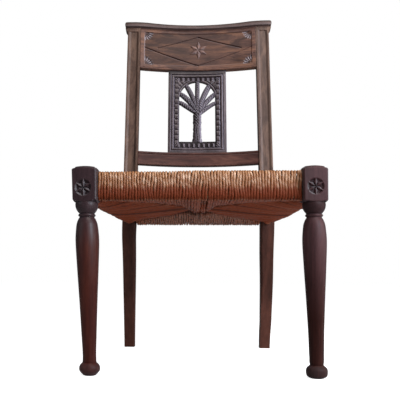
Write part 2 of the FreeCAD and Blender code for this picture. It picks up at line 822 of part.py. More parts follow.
corners = {
    "front": ((-inside_corner(front_inside), front_inside), (inside_corner(front_inside), front_inside)),
    "rear": ((inside_corner(rear_inside), rear_inside), (-inside_corner(rear_inside), rear_inside)),
}
corners["left"] = (corners["rear"][1], corners["front"][0])
corners["right"] = (corners["front"][1], corners["rear"][0])
wads = {side: wad(f"rush_wad_{side}", *ends, seat_middle) for side, ends in corners.items()}

pieces = {
    "front_leg_left": front_left,
    "front_leg_right": mirrored("front_leg_right", front_left),
    "rear_leg_left": rear_left,
    "rear_leg_right": mirrored("rear_leg_right", rear_left),
    "seat_rail_front": seat_rail("seat_rail_front", front_bar, front_tenon, [leg_blank, other_leg_blank]),
    "seat_rail_rear": seat_rail("seat_rail_rear", rear_bar, rear_tenon, [stile_blank, other_stile_blank]),
    "seat_rail_left": seat_rail("seat_rail_left", side_bar, side_tenon, [leg_blank, stile_blank]),
    "lower_back_rail": cut("lower_back_rail", join("lower_rail_tenoned", [
        lower_board, lower_tenon, other_lower_tenon]), [splat_foot]),
    "splat": join("splat", [splat_board(), splat_foot, splat_head]),
    "crest_rail": cut("crest_rail", join("crest_rail_tenoned", [
        crest_board, crest_tenon, other_crest_tenon, crest_star]), [splat_head]),
    "crest_cap": cut("crest_cap", crest_cap_moulding(), [stub, other_stub]),
    "rush_seat": cut("rush_seat", rush_blank(), [front_space, rear_space, side_space,
                                                 mirrored("other_side_space", side_space)]
                     + [pocket for _, pocket in wads.values()]),
}
pieces["seat_rail_right"] = mirrored("seat_rail_right", pieces["seat_rail_left"])
for side, (stuffing, _) in wads.items():
    pieces[f"rush_wad_{side}"] = stuffing

doc.recompute()
for name, piece in pieces.items():
    piece.Label = name

problems = []
for item in doc.Objects:
    if "Invalid" in item.State or "Error" in item.State:
        problems.append(f"{item.Name}: {item.State}")
for name, piece in pieces.items():
    if piece.Shape.isNull() or not piece.Shape.isValid() or not piece.Shape.Solids:
        problems.append(f"{name}: bad shape")
    elif len(piece.Shape.Solids) != 1:
        problems.append(f"{name}: {len(piece.Shape.Solids)} solids instead of one")
if problems:
    raise RuntimeError("; ".join(problems))

os.makedirs("parts", exist_ok=True)
for name, piece in pieces.items():
    piece.Shape.exportStep(f"parts/{name}.step")
    print(f"{name}: {piece.Shape.Volume / 1000:.1f} cm3")
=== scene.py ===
"""Looks of the rush-seated side chair: turned and carved wood, and a seat woven of rush cord.

Shapes are worked out in millimetres in three places: the upright chair, the raked back and the sloping seat.
Left and right are as seen from the front.
"""

import math

import bpy
import numpy as np
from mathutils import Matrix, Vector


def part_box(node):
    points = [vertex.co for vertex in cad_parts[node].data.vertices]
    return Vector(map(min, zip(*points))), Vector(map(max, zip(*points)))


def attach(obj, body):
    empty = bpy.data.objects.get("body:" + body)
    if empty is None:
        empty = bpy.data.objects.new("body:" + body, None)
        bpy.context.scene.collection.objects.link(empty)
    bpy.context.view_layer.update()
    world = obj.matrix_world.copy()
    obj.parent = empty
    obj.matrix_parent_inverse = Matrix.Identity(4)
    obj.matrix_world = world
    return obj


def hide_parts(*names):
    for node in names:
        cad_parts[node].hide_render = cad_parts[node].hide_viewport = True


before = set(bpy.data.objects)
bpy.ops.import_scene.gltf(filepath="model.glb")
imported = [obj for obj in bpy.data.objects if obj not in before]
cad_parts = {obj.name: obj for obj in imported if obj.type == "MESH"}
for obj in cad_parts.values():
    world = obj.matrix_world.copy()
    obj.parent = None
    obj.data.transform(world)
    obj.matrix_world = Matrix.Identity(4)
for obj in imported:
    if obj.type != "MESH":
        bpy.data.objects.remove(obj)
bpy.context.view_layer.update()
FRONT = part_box("front_leg_left")[0].y * 1000 + 1.0
DICE = np.random.default_rng(11)
LEFT, RIGHT = -1, 1
KNEE_Y, KNEE_Z = 410.0, 395.0
RAKE, SPLAY, SEAT_FALL = math.radians(9.3), math.radians(13.7), math.radians(2.57)
SEAT_MIDDLE = 396.0
REAR_HALF = 207.6
STILE_TOP = 548.0


# Places

def leaned(points, y, z, turn):
    """Points of a place that leans back by a turn, as metres in the chair's frame."""
    a, b, c = np.asarray(points, float).T
    return np.stack([a, b * math.cos(turn) + c * math.sin(turn) + y,
                     c * math.cos(turn) - b * math.sin(turn) + z], 1) / 1000


def on_back(points):
    return leaned(points, FRONT + KNEE_Y, KNEE_Z, RAKE)


def on_seat(points):
    return leaned(points, FRONT, SEAT_MIDDLE, SEAT_FALL)


# Meshes

def link_object(name, data):
    thing = bpy.data.objects.new(name, data)
    bpy.context.scene.collection.objects.link(thing)
    return thing


def add_piece(name, points, groups, material, slot, node, sharp=38, **marks):
    """A piece from points in metres and arrays of faces, with one number per point under each mark's name."""
    mesh = bpy.data.meshes.new(name)
    groups = [np.asarray(group, np.int32) for group in groups]
    mesh.vertices.add(len(points))
    mesh.vertices.foreach_set("co", np.asarray(points, np.float32).ravel())
    mesh.loops.add(sum(group.size for group in groups))
    mesh.loops.foreach_set("vertex_index", joined([group.ravel() for group in groups]))
    sides = joined([np.full(len(group), group.shape[1]) for group in groups])
    mesh.polygons.add(len(sides))
    mesh.polygons.foreach_set("loop_start", joined([[0], np.cumsum(sides)[:-1]]).astype(np.int32))
    mesh.update(calc_edges=True)
    for mark, values in marks.items():
        values = np.asarray(values, np.float32)
        kind, field = ("FLOAT_VECTOR", "vector") if values.ndim == 2 else ("FLOAT", "value")
        mesh.attributes.new(mark, kind, "POINT").data.foreach_set(field, values.ravel())
    mesh.validate()
    mesh.shade_smooth()
    mesh.set_sharp_from_angle(angle=math.radians(sharp))
    mesh.materials.append(material)
    piece = link_object(name, mesh)
    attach(piece, "root")
    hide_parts(node)
    return piece


def rings_to_faces(rings, around, start=0):
    """Quads between rings of points that follow one another."""
    ring, step = np.meshgrid(np.arange(rings - 1), np.arange(around), indexing="ij")
    a, b = ring * around + step, ring * around + (step + 1) % around
    return np.stack([a, b, b + around, a + around], -1).reshape(-1, 4) + start


def one_face(count, start=0):
    return (np.arange(count) + start)[None, :]


def flipped(groups):
    return [group[:, ::-1] for group in groups]


def add_leg(name, node, mesh, material, slot):
    points, faces, carved, pale = mesh
    add_piece(name, points / 1000, faces, material, slot, node, carved=carved, pale=pale)


def joined(parts):
    return np.concatenate(parts)


def circle(count):
    turn = np.linspace(0, 2 * math.pi, count, endpoint=False)
    return np.cos(turn), np.sin(turn)


def unit(value):
    return np.clip(value, 0, 1)


def smooth(value):
    value = unit(value)
    return value * value * (3 - 2 * value)


def bell(value, middle, reach):
    return np.exp(-((value - middle) / reach) ** 2)


def edge_round(inside, radius):
    """How far a rounded edge falls back at a distance inside it."""
    gap = np.clip(radius - inside, 0, radius)
    return radius - np.sqrt(radius ** 2 - gap ** 2)


def through(spots, count):
    """A smooth line through spots, with count steps between two of them."""
    spots = np.array(spots, float)
    padded = joined([2 * spots[:1] - spots[1:2], spots, 2 * spots[-1:] - spots[-2:-1]])
    line = []
    for a, b, c, d in zip(padded, padded[1:], padded[2:], padded[3:]):
        for step in range(count):
            t = step / count
            line.append((2 * b + (c - a) * t + (2 * a - 5 * b + 4 * c - d) * t ** 2
                         + (3 * b - a - 3 * c + d) * t ** 3) / 2)
    return line + [spots[-1]]


def arc(first, middle, last, count):
    """Points on the arc that turns left through three points, without its last."""
    a, b, c = (complex(*point) for point in (first, middle, last))
    w = (c - a) / (b - a)
    centre = a + (b - a) * (w - abs(w) ** 2) / (2j * w.imag)
    sweep = np.angle((c - centre) / (a - centre)) % (2 * math.pi)
    spots = centre + (a - centre) * np.exp(1j * sweep * np.arange(count) / count)
    return list(zip(spots.real, spots.imag))


def relief(oblong, step, inside, front, back):
    """Points, faces and 2-D points of a board that is sawn out where inside is positive."""
    half, *ends = oblong
    xs, ss = (np.linspace(low - step, high + step, int((high - low) / step) + 3)
              for low, high in ((-half, half), ends))
    x, s = np.meshgrid(xs, ss, indexing="ij")
    value = inside(x, s)
    value[np.abs(value) < 0.01] = 0.01
    kept = value > 0
    count = int(kept.sum())
    number = np.full(value.shape, -1)
    number[kept] = np.arange(count)
    low, high = slice(None, -1), slice(1, None)
    corners = [(low, low), (high, low), (high, high), (low, high)]
    held = np.sum([kept[corner] for corner in corners], 0)
    quads = np.stack([number[corner][held == 4] for corner in corners], 1)
    cuts, extra, walls, odd = {}, [], [], {}
    for i, j in zip(*np.nonzero((held > 0) & (held < 4))):
        ring = [(i, j), (i + 1, j), (i + 1, j + 1), (i, j + 1)]
        outline, crossings = [], []
        for a, b in zip(ring, ring[1:] + ring[:1]):
            if kept[a]:
                outline.append(number[a])
            if kept[a] != kept[b]:
                key = (min(a, b), max(a, b))
                if key not in cuts:
                    share = value[a] / (value[a] - value[b])
                    cuts[key] = count + len(extra)
                    extra.append((x[a] + (x[b] - x[a]) * share, s[a] + (s[b] - s[a]) * share))
                outline.append(cuts[key])
                crossings.append((cuts[key], kept[a]))
        odd.setdefault(len(outline), []).append(outline)
        if not crossings[0][1]:
            crossings = crossings[1:] + crossings[:1]
        walls += [(crossings[k][0], crossings[k + 1][0]) for k in range(0, len(crossings), 2)]
    plan = joined([np.stack([x[kept], s[kept]], 1), np.array(extra)])
    px, ps = plan.T
    points = joined([np.stack([px, face(px, ps), ps], 1) for face in (front, back)])
    groups = [quads] + [np.array(group) for group in odd.values()]
    leave, enter = np.array(walls).T
    behind = [group + len(plan) for group in flipped(groups)]
    return points, groups + behind + [np.stack([enter, leave, leave + len(plan), enter + len(plan)], 1)], plan


def slope_to_light(depth, x, s):
    """How much a cut slope looks up and to the right, where the light comes from: -1 to 1. Painted highlights
    and painted shade on the carvings are drawn by it.
    """
    step = 0.35
    across = depth(x + step, s) - depth(x - step, s)
    upward = depth(x, s + step) - depth(x, s - step)
    return np.clip((0.8 * across + 0.6 * upward) / (2 * step), -1, 1)


# Materials

WHITE = (1.0, 1.0, 1.0)


class Wiring:
    """Shorthand for building the nodes of a material or of the world."""

    def __init__(self, holder):
        holder.use_nodes = True
        self.holder = holder
        self.nodes, self.links = holder.node_tree.nodes, holder.node_tree.links

    def feed(self, socket, item):
        """Joins another node's output to a socket, or sets the socket to a number or a colour."""
        if isinstance(item, bpy.types.NodeSocket):
            self.links.new(item, socket)
        elif item is not None:
            socket.default_value = (*item, 1.0) if socket.type == "RGBA" else item

    def node(self, kind, inputs=None, output=0, **settings):
        """One output of a new node."""
        node = self.nodes.new("ShaderNode" + kind)
        for key, value in settings.items():
            setattr(node, key, value)
        for key, item in (inputs or {}).items():
            self.feed(node.inputs[key], item)
        return node.outputs[output]

    def math(self, operation, *items):
        return self.node("Math", dict(enumerate(items)), operation=operation)

    def place(self, factors=(1, 1, 1), offset=(0, 0, 0)):
        """Places on the piece, squeezed along each axis."""
        return self.scaled(self.node("TexCoord", output="Object"), factors, offset)

    def scaled(self, source, factors, offset=(0, 0, 0)):
        return self.node("Mapping", {"Vector": source, "Scale": factors, "Location": offset})

    def noise(self, source, scale, detail=3.0, rough=0.55, distortion=0.0):
        return self.node("TexNoise", {"Vector": source, "Scale": scale, "Detail": detail, "Roughness": rough,
                                      "Distortion": distortion}, "Fac")

    def ramp(self, source, low, high, first=0.0, last=1.0):
        """Remaps a number: first at low and before it, last at high and beyond it."""
        return self.node("MapRange", {"Value": source, "From Min": low, "From Max": high, "To Min": first,
                                      "To Max": last})

    def mix(self, share, first, second):
        return self.node("Mix", {0: share, 6: first, 7: second}, 2, data_type="RGBA")

    def over(self, colour, *layers):
        """A colour with others laid over it, each by its share."""
        for share, tint in layers:
            colour = self.mix(share, colour, tint)
        return colour

    def mark(self, name, output="Fac"):
        return self.node("Attribute", output=output, attribute_name=name)

    def bump(self, height, distance, strength=1.0):
        return self.node("Bump", {"Strength": strength, "Distance": distance, "Height": height})

    def finish(self, inputs, level=None, shine=None):
        """The material. Its specular level is one plain number, and varies by shine where both are given."""
        for key, item in [*inputs.items(), ("Specular IOR Level", level), ("Specular IOR Level", shine)]:
            self.feed(self.nodes["Principled BSDF"].inputs[key], item)
        return self.holder

    def show(self, output, light, seen):
        """Gives the output node one shader to light the chair by and another that is seen."""
        camera_ray = self.node("LightPath", output="Is Camera Ray")
        both = self.node("MixShader", {0: camera_ray, 1: light, 2: seen})
        self.links.new(both, self.nodes[output].inputs["Surface"])


def toned(colour, factor, more=0.0):
    return tuple(part * factor + more for part in colour)


def wood(name, dark, body, bright, grain, roughness=0.42, other=None, patches=0.5, carved=0.5, gloss=0.3,
         worn_pale=(0.26, 0.215, 0.21), dull_foot=1.0, dusty=0.0):
    """Stained and waxed wood. grain squeezes the pattern along each axis: small is along the grain.
    other is a second body colour with the height where it starts and the height where it is complete.
    dull_foot is the share of the gloss that is left near the floor."""
    w = Wiring(bpy.data.materials.new(name))

    def squeezed(least, offset=(0, 0, 0)):
        return w.place(tuple(max(part, least) for part in grain), offset)

    figure = w.noise(squeezed(0.0), 30.0, 6.0, 0.62, 1.1)
    streak = w.noise(squeezed(0.0, (3.1, 1.7, 2.3)), 150.0, 4.0, 0.7, 0.4)
    fleck = w.noise(squeezed(0.2), 480.0, 2.0, 0.6)
    patch = w.noise(squeezed(0.22, (0.4, 0.2, 0.1)), 34.0, 4.0, 0.6, 1.5)
    cloud = w.noise(w.place(), 9.0, 2.0)
    tone = w.math("MULTIPLY", figure, 0.55)
    for part, share in ((streak, 0.3), (fleck, 0.15)):
        tone = w.math("MULTIPLY_ADD", part, share, tone)
    colour = w.over(dark, (w.ramp(tone, 0.36, 0.52), body), (w.ramp(tone, 0.51, 0.66), bright),
                    (w.ramp(patch, 0.50, 0.66, 0.0, patches), bright),
                    (w.ramp(patch, 0.46, 0.33, 0.0, patches * 1.3), dark))
    height = w.node("SeparateXYZ", {0: w.place()}, 2)
    if other is not None:
        tint, begin, full = other
        second = w.mix(w.ramp(tone, 0.38, 0.62), toned(tint, 0.6), toned(tint, 1.45))
        colour = w.mix(w.ramp(height, begin, full), colour, second)
    pointed = w.node("NewGeometry", output="Pointiness")
    worn = w.math("MULTIPLY", w.ramp(pointed, 0.52, 0.60), w.ramp(cloud, 0.4, 0.6, 0.15, 0.6))
    # Painted shade: the point mark that darkens cuts and shadowed places, at this material's strength, and
    # concave creases darkened where shade falls.
    hollow = w.math("MAXIMUM", w.math("MULTIPLY", w.mark("carved"), carved),
                    w.ramp(pointed, 0.49, 0.43, 0.0, 0.85))
    # Edges are worn lighter, the painted shade lays a dark tone over cuts and creases, and the point mark of
    # wear and painted highlights lays a lighter tone.
    colour = w.over(colour, (worn, toned(bright, 1.25, 0.015)), (hollow, toned(dark, 0.22)),
                    (w.mark("pale"), worn_pale))
    rough = w.math("MULTIPLY_ADD", streak, 0.12, w.ramp(cloud, 0.3, 0.7, roughness - 0.06, roughness + 0.06))
    pores = w.math("MULTIPLY_ADD", fleck, 0.4, streak)
    shine = w.math("MULTIPLY", w.ramp(hollow, 0.0, 1.0, gloss, gloss * 0.3),
                   w.ramp(height, 0.18, 0.31, dull_foot, 1.0))
    return w.finish({"Base Color": colour, "Roughness": rough, "Normal": w.bump(pores, 0.0004, 0.5),
                     "Sheen Weight": dusty, "Sheen Roughness": 0.4, "Sheen Tint": (0.9, 0.92, 1.0)},
                    gloss, shine)


ALONG_X = (0.06, 1.0, 1.0)
ALONG_Z = (1.0, 1.0, 0.06)
GREY_WEAR_AND_HIGHLIGHT = (0.105, 0.094, 0.098)
TURNED = {
    "left": wood("turned_wood", (0.026, 0.0048, 0.0034), (0.042, 0.0082, 0.0055), (0.068, 0.0165, 0.0105),
                 ALONG_Z, 0.36, other=((0.0235, 0.0108, 0.0125), 0.265, 0.335), patches=0.3, gloss=0.26,
                 worn_pale=GREY_WEAR_AND_HIGHLIGHT, dull_foot=0.32, dusty=0.12),
    "right": wood("turned_wood_dark", (0.012, 0.0029, 0.002), (0.021, 0.0048, 0.0034), (0.042, 0.012, 0.0082),
                  ALONG_Z, 0.40, other=((0.045, 0.0176, 0.0184), 0.12, 0.27), patches=0.3, gloss=0.15,
                  worn_pale=GREY_WEAR_AND_HIGHLIGHT, dull_foot=0.42, dusty=0.08)}
STILE = wood("stile_wood", (0.042, 0.0225, 0.017), (0.104, 0.059, 0.0435), (0.18, 0.104, 0.072), ALONG_Z,
             0.40, other=((0.082, 0.0275, 0.018), 0.44, 0.36), gloss=0.20, worn_pale=(0.21, 0.165, 0.155))
CREST = wood("crest_wood", (0.038, 0.0178, 0.015), (0.099, 0.0455, 0.0345), (0.225, 0.102, 0.059), ALONG_X,
             0.40, patches=0.6, carved=0.75, gloss=0.25, worn_pale=(0.30, 0.255, 0.27))
CAP = wood("cap_wood", (0.034, 0.019, 0.018), (0.080, 0.045, 0.039), (0.135, 0.080, 0.066), ALONG_X, 0.38,
           carved=0.8, gloss=0.22)
RAIL = wood("rail_wood", (0.028, 0.0095, 0.008), (0.071, 0.0255, 0.0195), (0.14, 0.058, 0.041), ALONG_X, 0.38,
            gloss=0.22)
SPLAT = wood("splat_wood", (0.022, 0.0135, 0.015), (0.06, 0.039, 0.042), (0.13, 0.096, 0.102), ALONG_Z, 0.34,
             carved=0.85, gloss=0.45, worn_pale=(0.31, 0.275, 0.34))
PLAIN = wood("plain_wood", (0.20, 0.12, 0.06), (0.33, 0.21, 0.12), (0.42, 0.29, 0.17), ALONG_X, 0.7)


def rush():
    """Twisted rush cord. The strand mark holds the way along it in metres and its place around."""
    w = Wiring(bpy.data.materials.new("rush_cord"))
    along, across, beside = w.node("SeparateXYZ", {0: w.mark("strand", "Vector")}).node.outputs
    one_twist = 0.019
    turn = w.math("MULTIPLY", along, 2 * math.pi / one_twist)
    sine, cosine = w.math("SINE", turn), w.math("COSINE", turn)
    side = w.math("MULTIPLY_ADD", beside, cosine, w.math("MULTIPLY", across, sine))
    face = w.math("SUBTRACT", w.math("MULTIPLY", across, cosine), w.math("MULTIPLY", beside, sine))
    tint, age, stain_and_shade = w.mark("tint"), w.mark("age"), w.mark("stain_and_shade")
    run = w.math("MULTIPLY_ADD", along, 26.0, w.math("MULTIPLY", tint, 37.0))
    cord = w.node("CombineXYZ", {0: run, 1: face, 2: side})
    leaf = w.noise(w.scaled(cord, (0.16, 1.0, 1.0)), 1.7)
    fibre = w.noise(w.scaled(cord, (0.1, 6.0, 6.0)), 3.0, rough=0.6)
    patch = w.noise(w.scaled(cord, (0.45, 0.3, 0.3)), 0.9, rough=0.6)
    tone = w.ramp(leaf, 0.3, 0.7)
    shadow = w.math("MULTIPLY", w.ramp(tint, 0.15, 0.21, 1.0, 0.0), w.ramp(age, 0.6, 1.0, 0.0, 0.9))
    # Colour layers: rush tones, lighter and darker patches and fibres, aged red-brown, the darker lower front
    # (aged rush and painted shade), dark cords as painted shadow, flanks darker than the worn crown (wear and
    # painted shade between cords), and the seam's painted shade.
    colour = w.over(w.mix(tone, (0.212, 0.076, 0.024), (0.380, 0.168, 0.064)),
                    (w.ramp(patch, 0.50, 0.66, 0.0, 0.9), (0.60, 0.380, 0.250)),
                    (w.ramp(patch, 0.44, 0.30, 0.0, 0.8), (0.20, 0.062, 0.022)),
                    (w.ramp(fibre, 0.35, 0.52, 0.3, 0.0), (0.20, 0.070, 0.028)),
                    (age, w.mix(tone, (0.168, 0.031, 0.0115), (0.335, 0.072, 0.0320))),
                    (stain_and_shade, (0.126, 0.0257, 0.0100)), (shadow, (0.035, 0.007, 0.004)),
                    (w.ramp(beside, 0.76, 0.15, 0.0, 0.85), (0.130, 0.034, 0.012)),
                    (w.mark("seam"), (0.035, 0.008, 0.004)))
    height = w.math("MULTIPLY_ADD", w.math("MULTIPLY", side, face), 0.5, w.math("MULTIPLY", fibre, 0.5))
    shine = w.ramp(w.math("MAXIMUM", age, stain_and_shade), 0.0, 1.0, 0.5, 0.06)
    return w.finish({"Base Color": colour, "Roughness": w.ramp(leaf, 0.3, 0.7, 0.34, 0.50),
                     "Normal": w.bump(height, 0.0005, 0.7)}, 0.4, shine)


def stuffing():
    """Dry broken rush leaves packed into the pockets of the seat."""
    w = Wiring(bpy.data.materials.new("stuffing"))
    leaf = w.noise(w.place((0.25, 1.0, 1.0)), 190.0, 4.0, 0.7, 0.6)
    colour = w.mix(w.ramp(leaf, 0.3, 0.7), (0.12, 0.045, 0.020), (0.34, 0.19, 0.09))
    return w.finish({"Base Color": colour, "Roughness": w.ramp(leaf, 0.3, 0.7, 0.7, 0.9),
                     "Normal": w.bump(leaf, 0.0015)})


RUSH = rush()
STUFFING = stuffing()


# Front legs: turned column, bun foot and square block with a rosette in its front.

BLOCK_HALF, CORNER_ROUND = 24.0, 2.4
BLOCK_BOTTOM, BLOCK_SHOULDER, DOME = 361.4, 432.3, 6.6
TOP_BEVEL, LOW_BEVEL = 5.0, 1.5
SLOPE_START, UNDER_RADIUS = 25.5, 20.5
ROSETTE_RADIUS, ROSETTE_RIM, ROSETTE_FLOOR = 18.2, 4.2, 4.8
LEAF_HALF, LEAF_RISE = 4.3, 4.7
NECK_Z, LEAN_FROM = 334.0, 276.0
# Turned shapes as rows of radius and level.
FOOT = [(11.5, 0.0), (14.8, 1.2), (18.4, 4.2), (21.0, 8.6), (21.9, 13.3), (21.5, 17.8), (19.5, 22.2),
        (16.4, 25.3), (14.6, 27.0)]
SHAFT_AND_VASE = [(14.2, 31.0), (14.2, 49.0), (15.6, 80.0), (17.4, 120.0), (19.3, 161.0), (21.5, 202.0),
                  (23.6, 243.0), (24.8, 270.0), (24.9, 286.0), (24.0, 300.0), (22.4, 314.0), (20.5, 320.7),
                  (18.7, 325.0), (16.8, 328.3), (15.8, 329.8)]
CUP = [(16.7, 338.6), (19.4, 342.0), (21.7, 345.7), (23.2, 349.5), (24.0, 353.6), (24.2, 357.2),
       (23.7, 361.0)]


def petals(x, z, radius, half, height):
    """Height of six raised leaves, each with a ridge along it, that meet in a low point."""
    raised = np.zeros_like(x)
    for step in range(6):
        turn = math.radians(90 + 60 * step)
        along = unit((x * math.cos(turn) + z * math.sin(turn)) / radius)
        across = np.abs(z * math.cos(turn) - x * math.sin(turn))
        width = half * np.minimum(along / 0.45, (1 - along) / 0.55) ** 0.9 + 1e-3
        ridge = height * np.minimum(along / 0.3, 1) ** 0.6 * np.minimum((1 - along) / 0.25, 1) ** 0.4
        raised = np.maximum(raised, ridge * unit(1 - across / width))
    return raised


def rosette_depth(x, z):
    """How deep the rosette is cut at a point of the block's face."""
    reach = np.hypot(x, z)
    rim = unit((ROSETTE_RADIUS - reach) / ROSETTE_RIM)
    floor = ROSETTE_FLOOR * smooth(rim) * (1 - 0.25 * smooth(reach / ROSETTE_RADIUS))
    leaves = petals(x, z, ROSETTE_RADIUS * 1.06, LEAF_HALF, LEAF_RISE)
    return np.maximum(floor - leaves * smooth(rim * 4), 0)


def front_leg_profile():
    return np.array(through(FOOT, 5) + through(SHAFT_AND_VASE, 6) + [(15.6, 330.3), (15.6, 331.0)]
                    + arc((16.0, 331.2), (18.3, NECK_Z), (16.5, 336.8), 9) + [(16.0, 337.2), (16.0, 338.0)]
                    + through(CUP, 4) + [(21.0, BLOCK_BOTTOM + 1.5)])


def domed(spots):
    return BLOCK_SHOULDER + DOME * (1 - (spots ** 2).sum(1) / (2 * BLOCK_HALF ** 2))


def block_edge():
    """The block's plan with rounded corners. The carved front has more points than the other sides."""
    fine, plain = np.linspace(-1, 1, 105)[:-1], np.linspace(-1, 1, 27)[:-1]
    edge = np.array([(t, -1.0) for t in fine] + [(1.0, t) for t in plain] + [(-t, 1.0) for t in plain]
                    + [(-1.0, -t) for t in plain]) * BLOCK_HALF
    inner = BLOCK_HALF - CORNER_ROUND
    away = np.abs(edge) - inner
    length = np.hypot(*np.maximum(away, 1e-6).T)[:, None]
    return np.where((away > 0).all(1)[:, None], np.sign(edge) * (inner + away / length * CORNER_ROUND), edge)


def front_leg_mesh(hand, x_middle, lean, off_middle, rosette_z, turned_out, block_half, chamfer, foot):
    """Points, faces, painted shade and the mark of wear and painted highlights of one front leg."""
    around = 72
    profile = front_leg_profile()
    for grow, middle, reach in foot:
        profile[:, 0] += grow * bell(profile[:, 1], middle, reach)
    cosine, sine = circle(around)
    radius, level = profile[:, :1], profile[:, 1:]
    column = np.stack([radius * cosine, radius * sine, np.repeat(level, around, 1)], -1).reshape(-1, 3)
    edge = block_edge()
    reach = np.hypot(*edge.T)
    slope_width = BLOCK_HALF * math.sqrt(2) - SLOPE_START
    bottom = BLOCK_BOTTOM + chamfer * np.clip((reach - SLOPE_START) / slope_width, 0, None)
    steps = joined([[0, 0.004, 0.01, 0.02], np.linspace(0.04, 0.93, 112),
                    [0.945, 0.96, 0.975, 0.987, 0.995, 1.0]])
    height = BLOCK_SHOULDER - BLOCK_BOTTOM
    wall = []
    for share in steps:
        level = bottom + (domed(edge) - bottom) * share
        flat = BLOCK_BOTTOM + height * share
        level = level * (1 - 4 * share * (1 - share)) + flat * 4 * share * (1 - share)
        gap = edge_round(min(share, 1 - share) * height, TOP_BEVEL if share > 0.5 else LOW_BEVEL)
        wall.append(np.column_stack([edge * (1 - gap / BLOCK_HALF), level]))
    wall = joined(wall)
    front = wall[:, 1] < -BLOCK_HALF + 0.8
    wider = block_half / BLOCK_HALF
    flower_x, flower_z = wall[:, 0] * wider - off_middle, wall[:, 2] - rosette_z
    cut = np.where(front, rosette_depth(flower_x, flower_z), 0)
    wall[:, 1] += cut
    lid = [edge * share * (1 - TOP_BEVEL / BLOCK_HALF) for share in (0.93, 0.82, 0.66, 0.48, 0.3, 0.12)]
    lid_rings = len(lid)
    lid = joined([np.column_stack([spots, domed(spots)]) for spots in lid])
    under = np.column_stack([edge * (UNDER_RADIUS / np.maximum(reach, UNDER_RADIUS))[:, None],
                             np.full(len(edge), BLOCK_BOTTOM + 0.6)])
    block = joined([under, wall, lid]) * (wider, 1, 1)
    block[:, 0] *= 1 + 0.0005 * (block[:, 2] - BLOCK_BOTTOM - 36)
    turn = math.radians(turned_out)
    block[:, :2] = np.stack([block[:, 0] * math.cos(turn) - block[:, 1] * math.sin(turn),
                             block[:, 0] * math.sin(turn) + block[:, 1] * math.cos(turn)], 1)
    base, count = len(column), len(edge)
    points = joined([column, block])
    faces = [rings_to_faces(len(profile), around), *flipped([one_face(around)]),
             rings_to_faces(len(steps) + 1 + lid_rings, count, start=base),
             one_face(count, len(points) - count)]
    points[:, 0] = points[:, 0] * hand + x_middle
    points[:, 1] += FRONT + BLOCK_HALF
    if hand == LEFT:
        faces = flipped(faces)
    # Painted highlights on rosette slopes that face the light and on the block's right front edge; painted
    # shade in the rosette's cut, less on its lit slopes, and the block drawn darker towards its bottom.
    bright = np.maximum(slope_to_light(rosette_depth, flower_x * hand, flower_z) * front, 0)
    low = 0.22 * smooth((405 - wall[:, 2]) / 40)
    edge_highlight = bell(wall[:, 0] * hand, BLOCK_HALF - 1.0, 1.2) * (wall[:, 1] < -BLOCK_HALF + 3)
    carved, pale = np.zeros((2, len(points)))
    # Painted shadow of the block on the right leg's cup; the foot is worn lighter.
    carved[:base] = smooth((column[:, 2] - NECK_Z) / 4) * (hand == RIGHT)
    pale[:base] = 0.11 * smooth((27 - column[:, 2]) / 4)
    on_wall = slice(base + count, base + count + len(wall))
    carved[on_wall] = unit(cut / 4.0 * (1 - bright) + low)
    pale[on_wall] = np.maximum(0.75 * bright * (cut > 0.05), 0.36 * edge_highlight)
    points[:, 0] += (LEAN_FROM - points[:, 2]) * math.tan(math.radians(lean))
    return points, faces, carved, pale


# Each front leg as front_leg_mesh takes it. foot lists changes of radius: by how much, at which level, and
# how far they reach.
LEGS = [("left", LEFT, -238.5, 1.85, 2.0, 391.0, 3.4, 25.6, 4.5, [(-1.7, 4.0, 4.5)]),
        ("right", RIGHT, 237.2, 0.3, -1.0, 393.0, 2.4, 25.0, 3.0,
         [(0.9, 50.0, 25.0), (-1.5, 25.5, 4.0), (1.5, 4.0, 5.0)])]
for side, *sizes in LEGS:
    add_leg(f"turned_leg_{side}", f"front_leg_{side}", front_leg_mesh(*sizes), TURNED[side], "dark_wood")


# Rear legs: splayed foot and raked stile, with a sunk field down the stile's front.

BEND = 500.0
TANGENT = BEND * math.tan((RAKE + SPLAY) / 2)
LOWER = KNEE_Z / math.cos(SPLAY) - TANGENT
TURN = BEND * (RAKE + SPLAY)
STILE_START = LOWER + TURN
STILE_END = STILE_START + STILE_TOP - TANGENT
STILE_WIDTH, FOOT_WIDTH = 37.6, 28.5
FIELD_X, FIELD_CUT = [4.4, 5.2, 9.4, 10.6, 26.4, 27.6, 31.2, 32.0], [0, 0.35, 2.4, 2.7, 2.7, 2.4, 0.35, 0]
ACROSS = np.array([0.0, 0.6, 1.5, 3.0, 4.4, 5.2, 6.4, 8.0, 9.4, 10.3, 11.2, 14.0, 18.0, 22.0, 25.8, 26.6,
                   27.5, 29.0, 30.4, 31.2, 32.0, 34.0, 35.8, 36.9, 37.6]) / STILE_WIDTH


def leg_line(length):
    """The middle line of a rear leg from the floor up: (y, z) and the angle that it leans back by."""
    length = np.asarray(length, float)
    foot_y = KNEE_Y + KNEE_Z * math.tan(SPLAY)
    lean = -SPLAY + unit((length - LOWER) / TURN) * (RAKE + SPLAY)
    low = np.minimum(length, LOWER)
    y = foot_y - low * math.sin(SPLAY) + BEND * (math.cos(SPLAY) - np.cos(lean))
    z = low * math.cos(SPLAY) + BEND * (math.sin(SPLAY) + np.sin(lean))
    high = np.maximum(length - STILE_START, 0)
    return y + high * math.sin(RAKE), z + high * math.cos(RAKE), lean


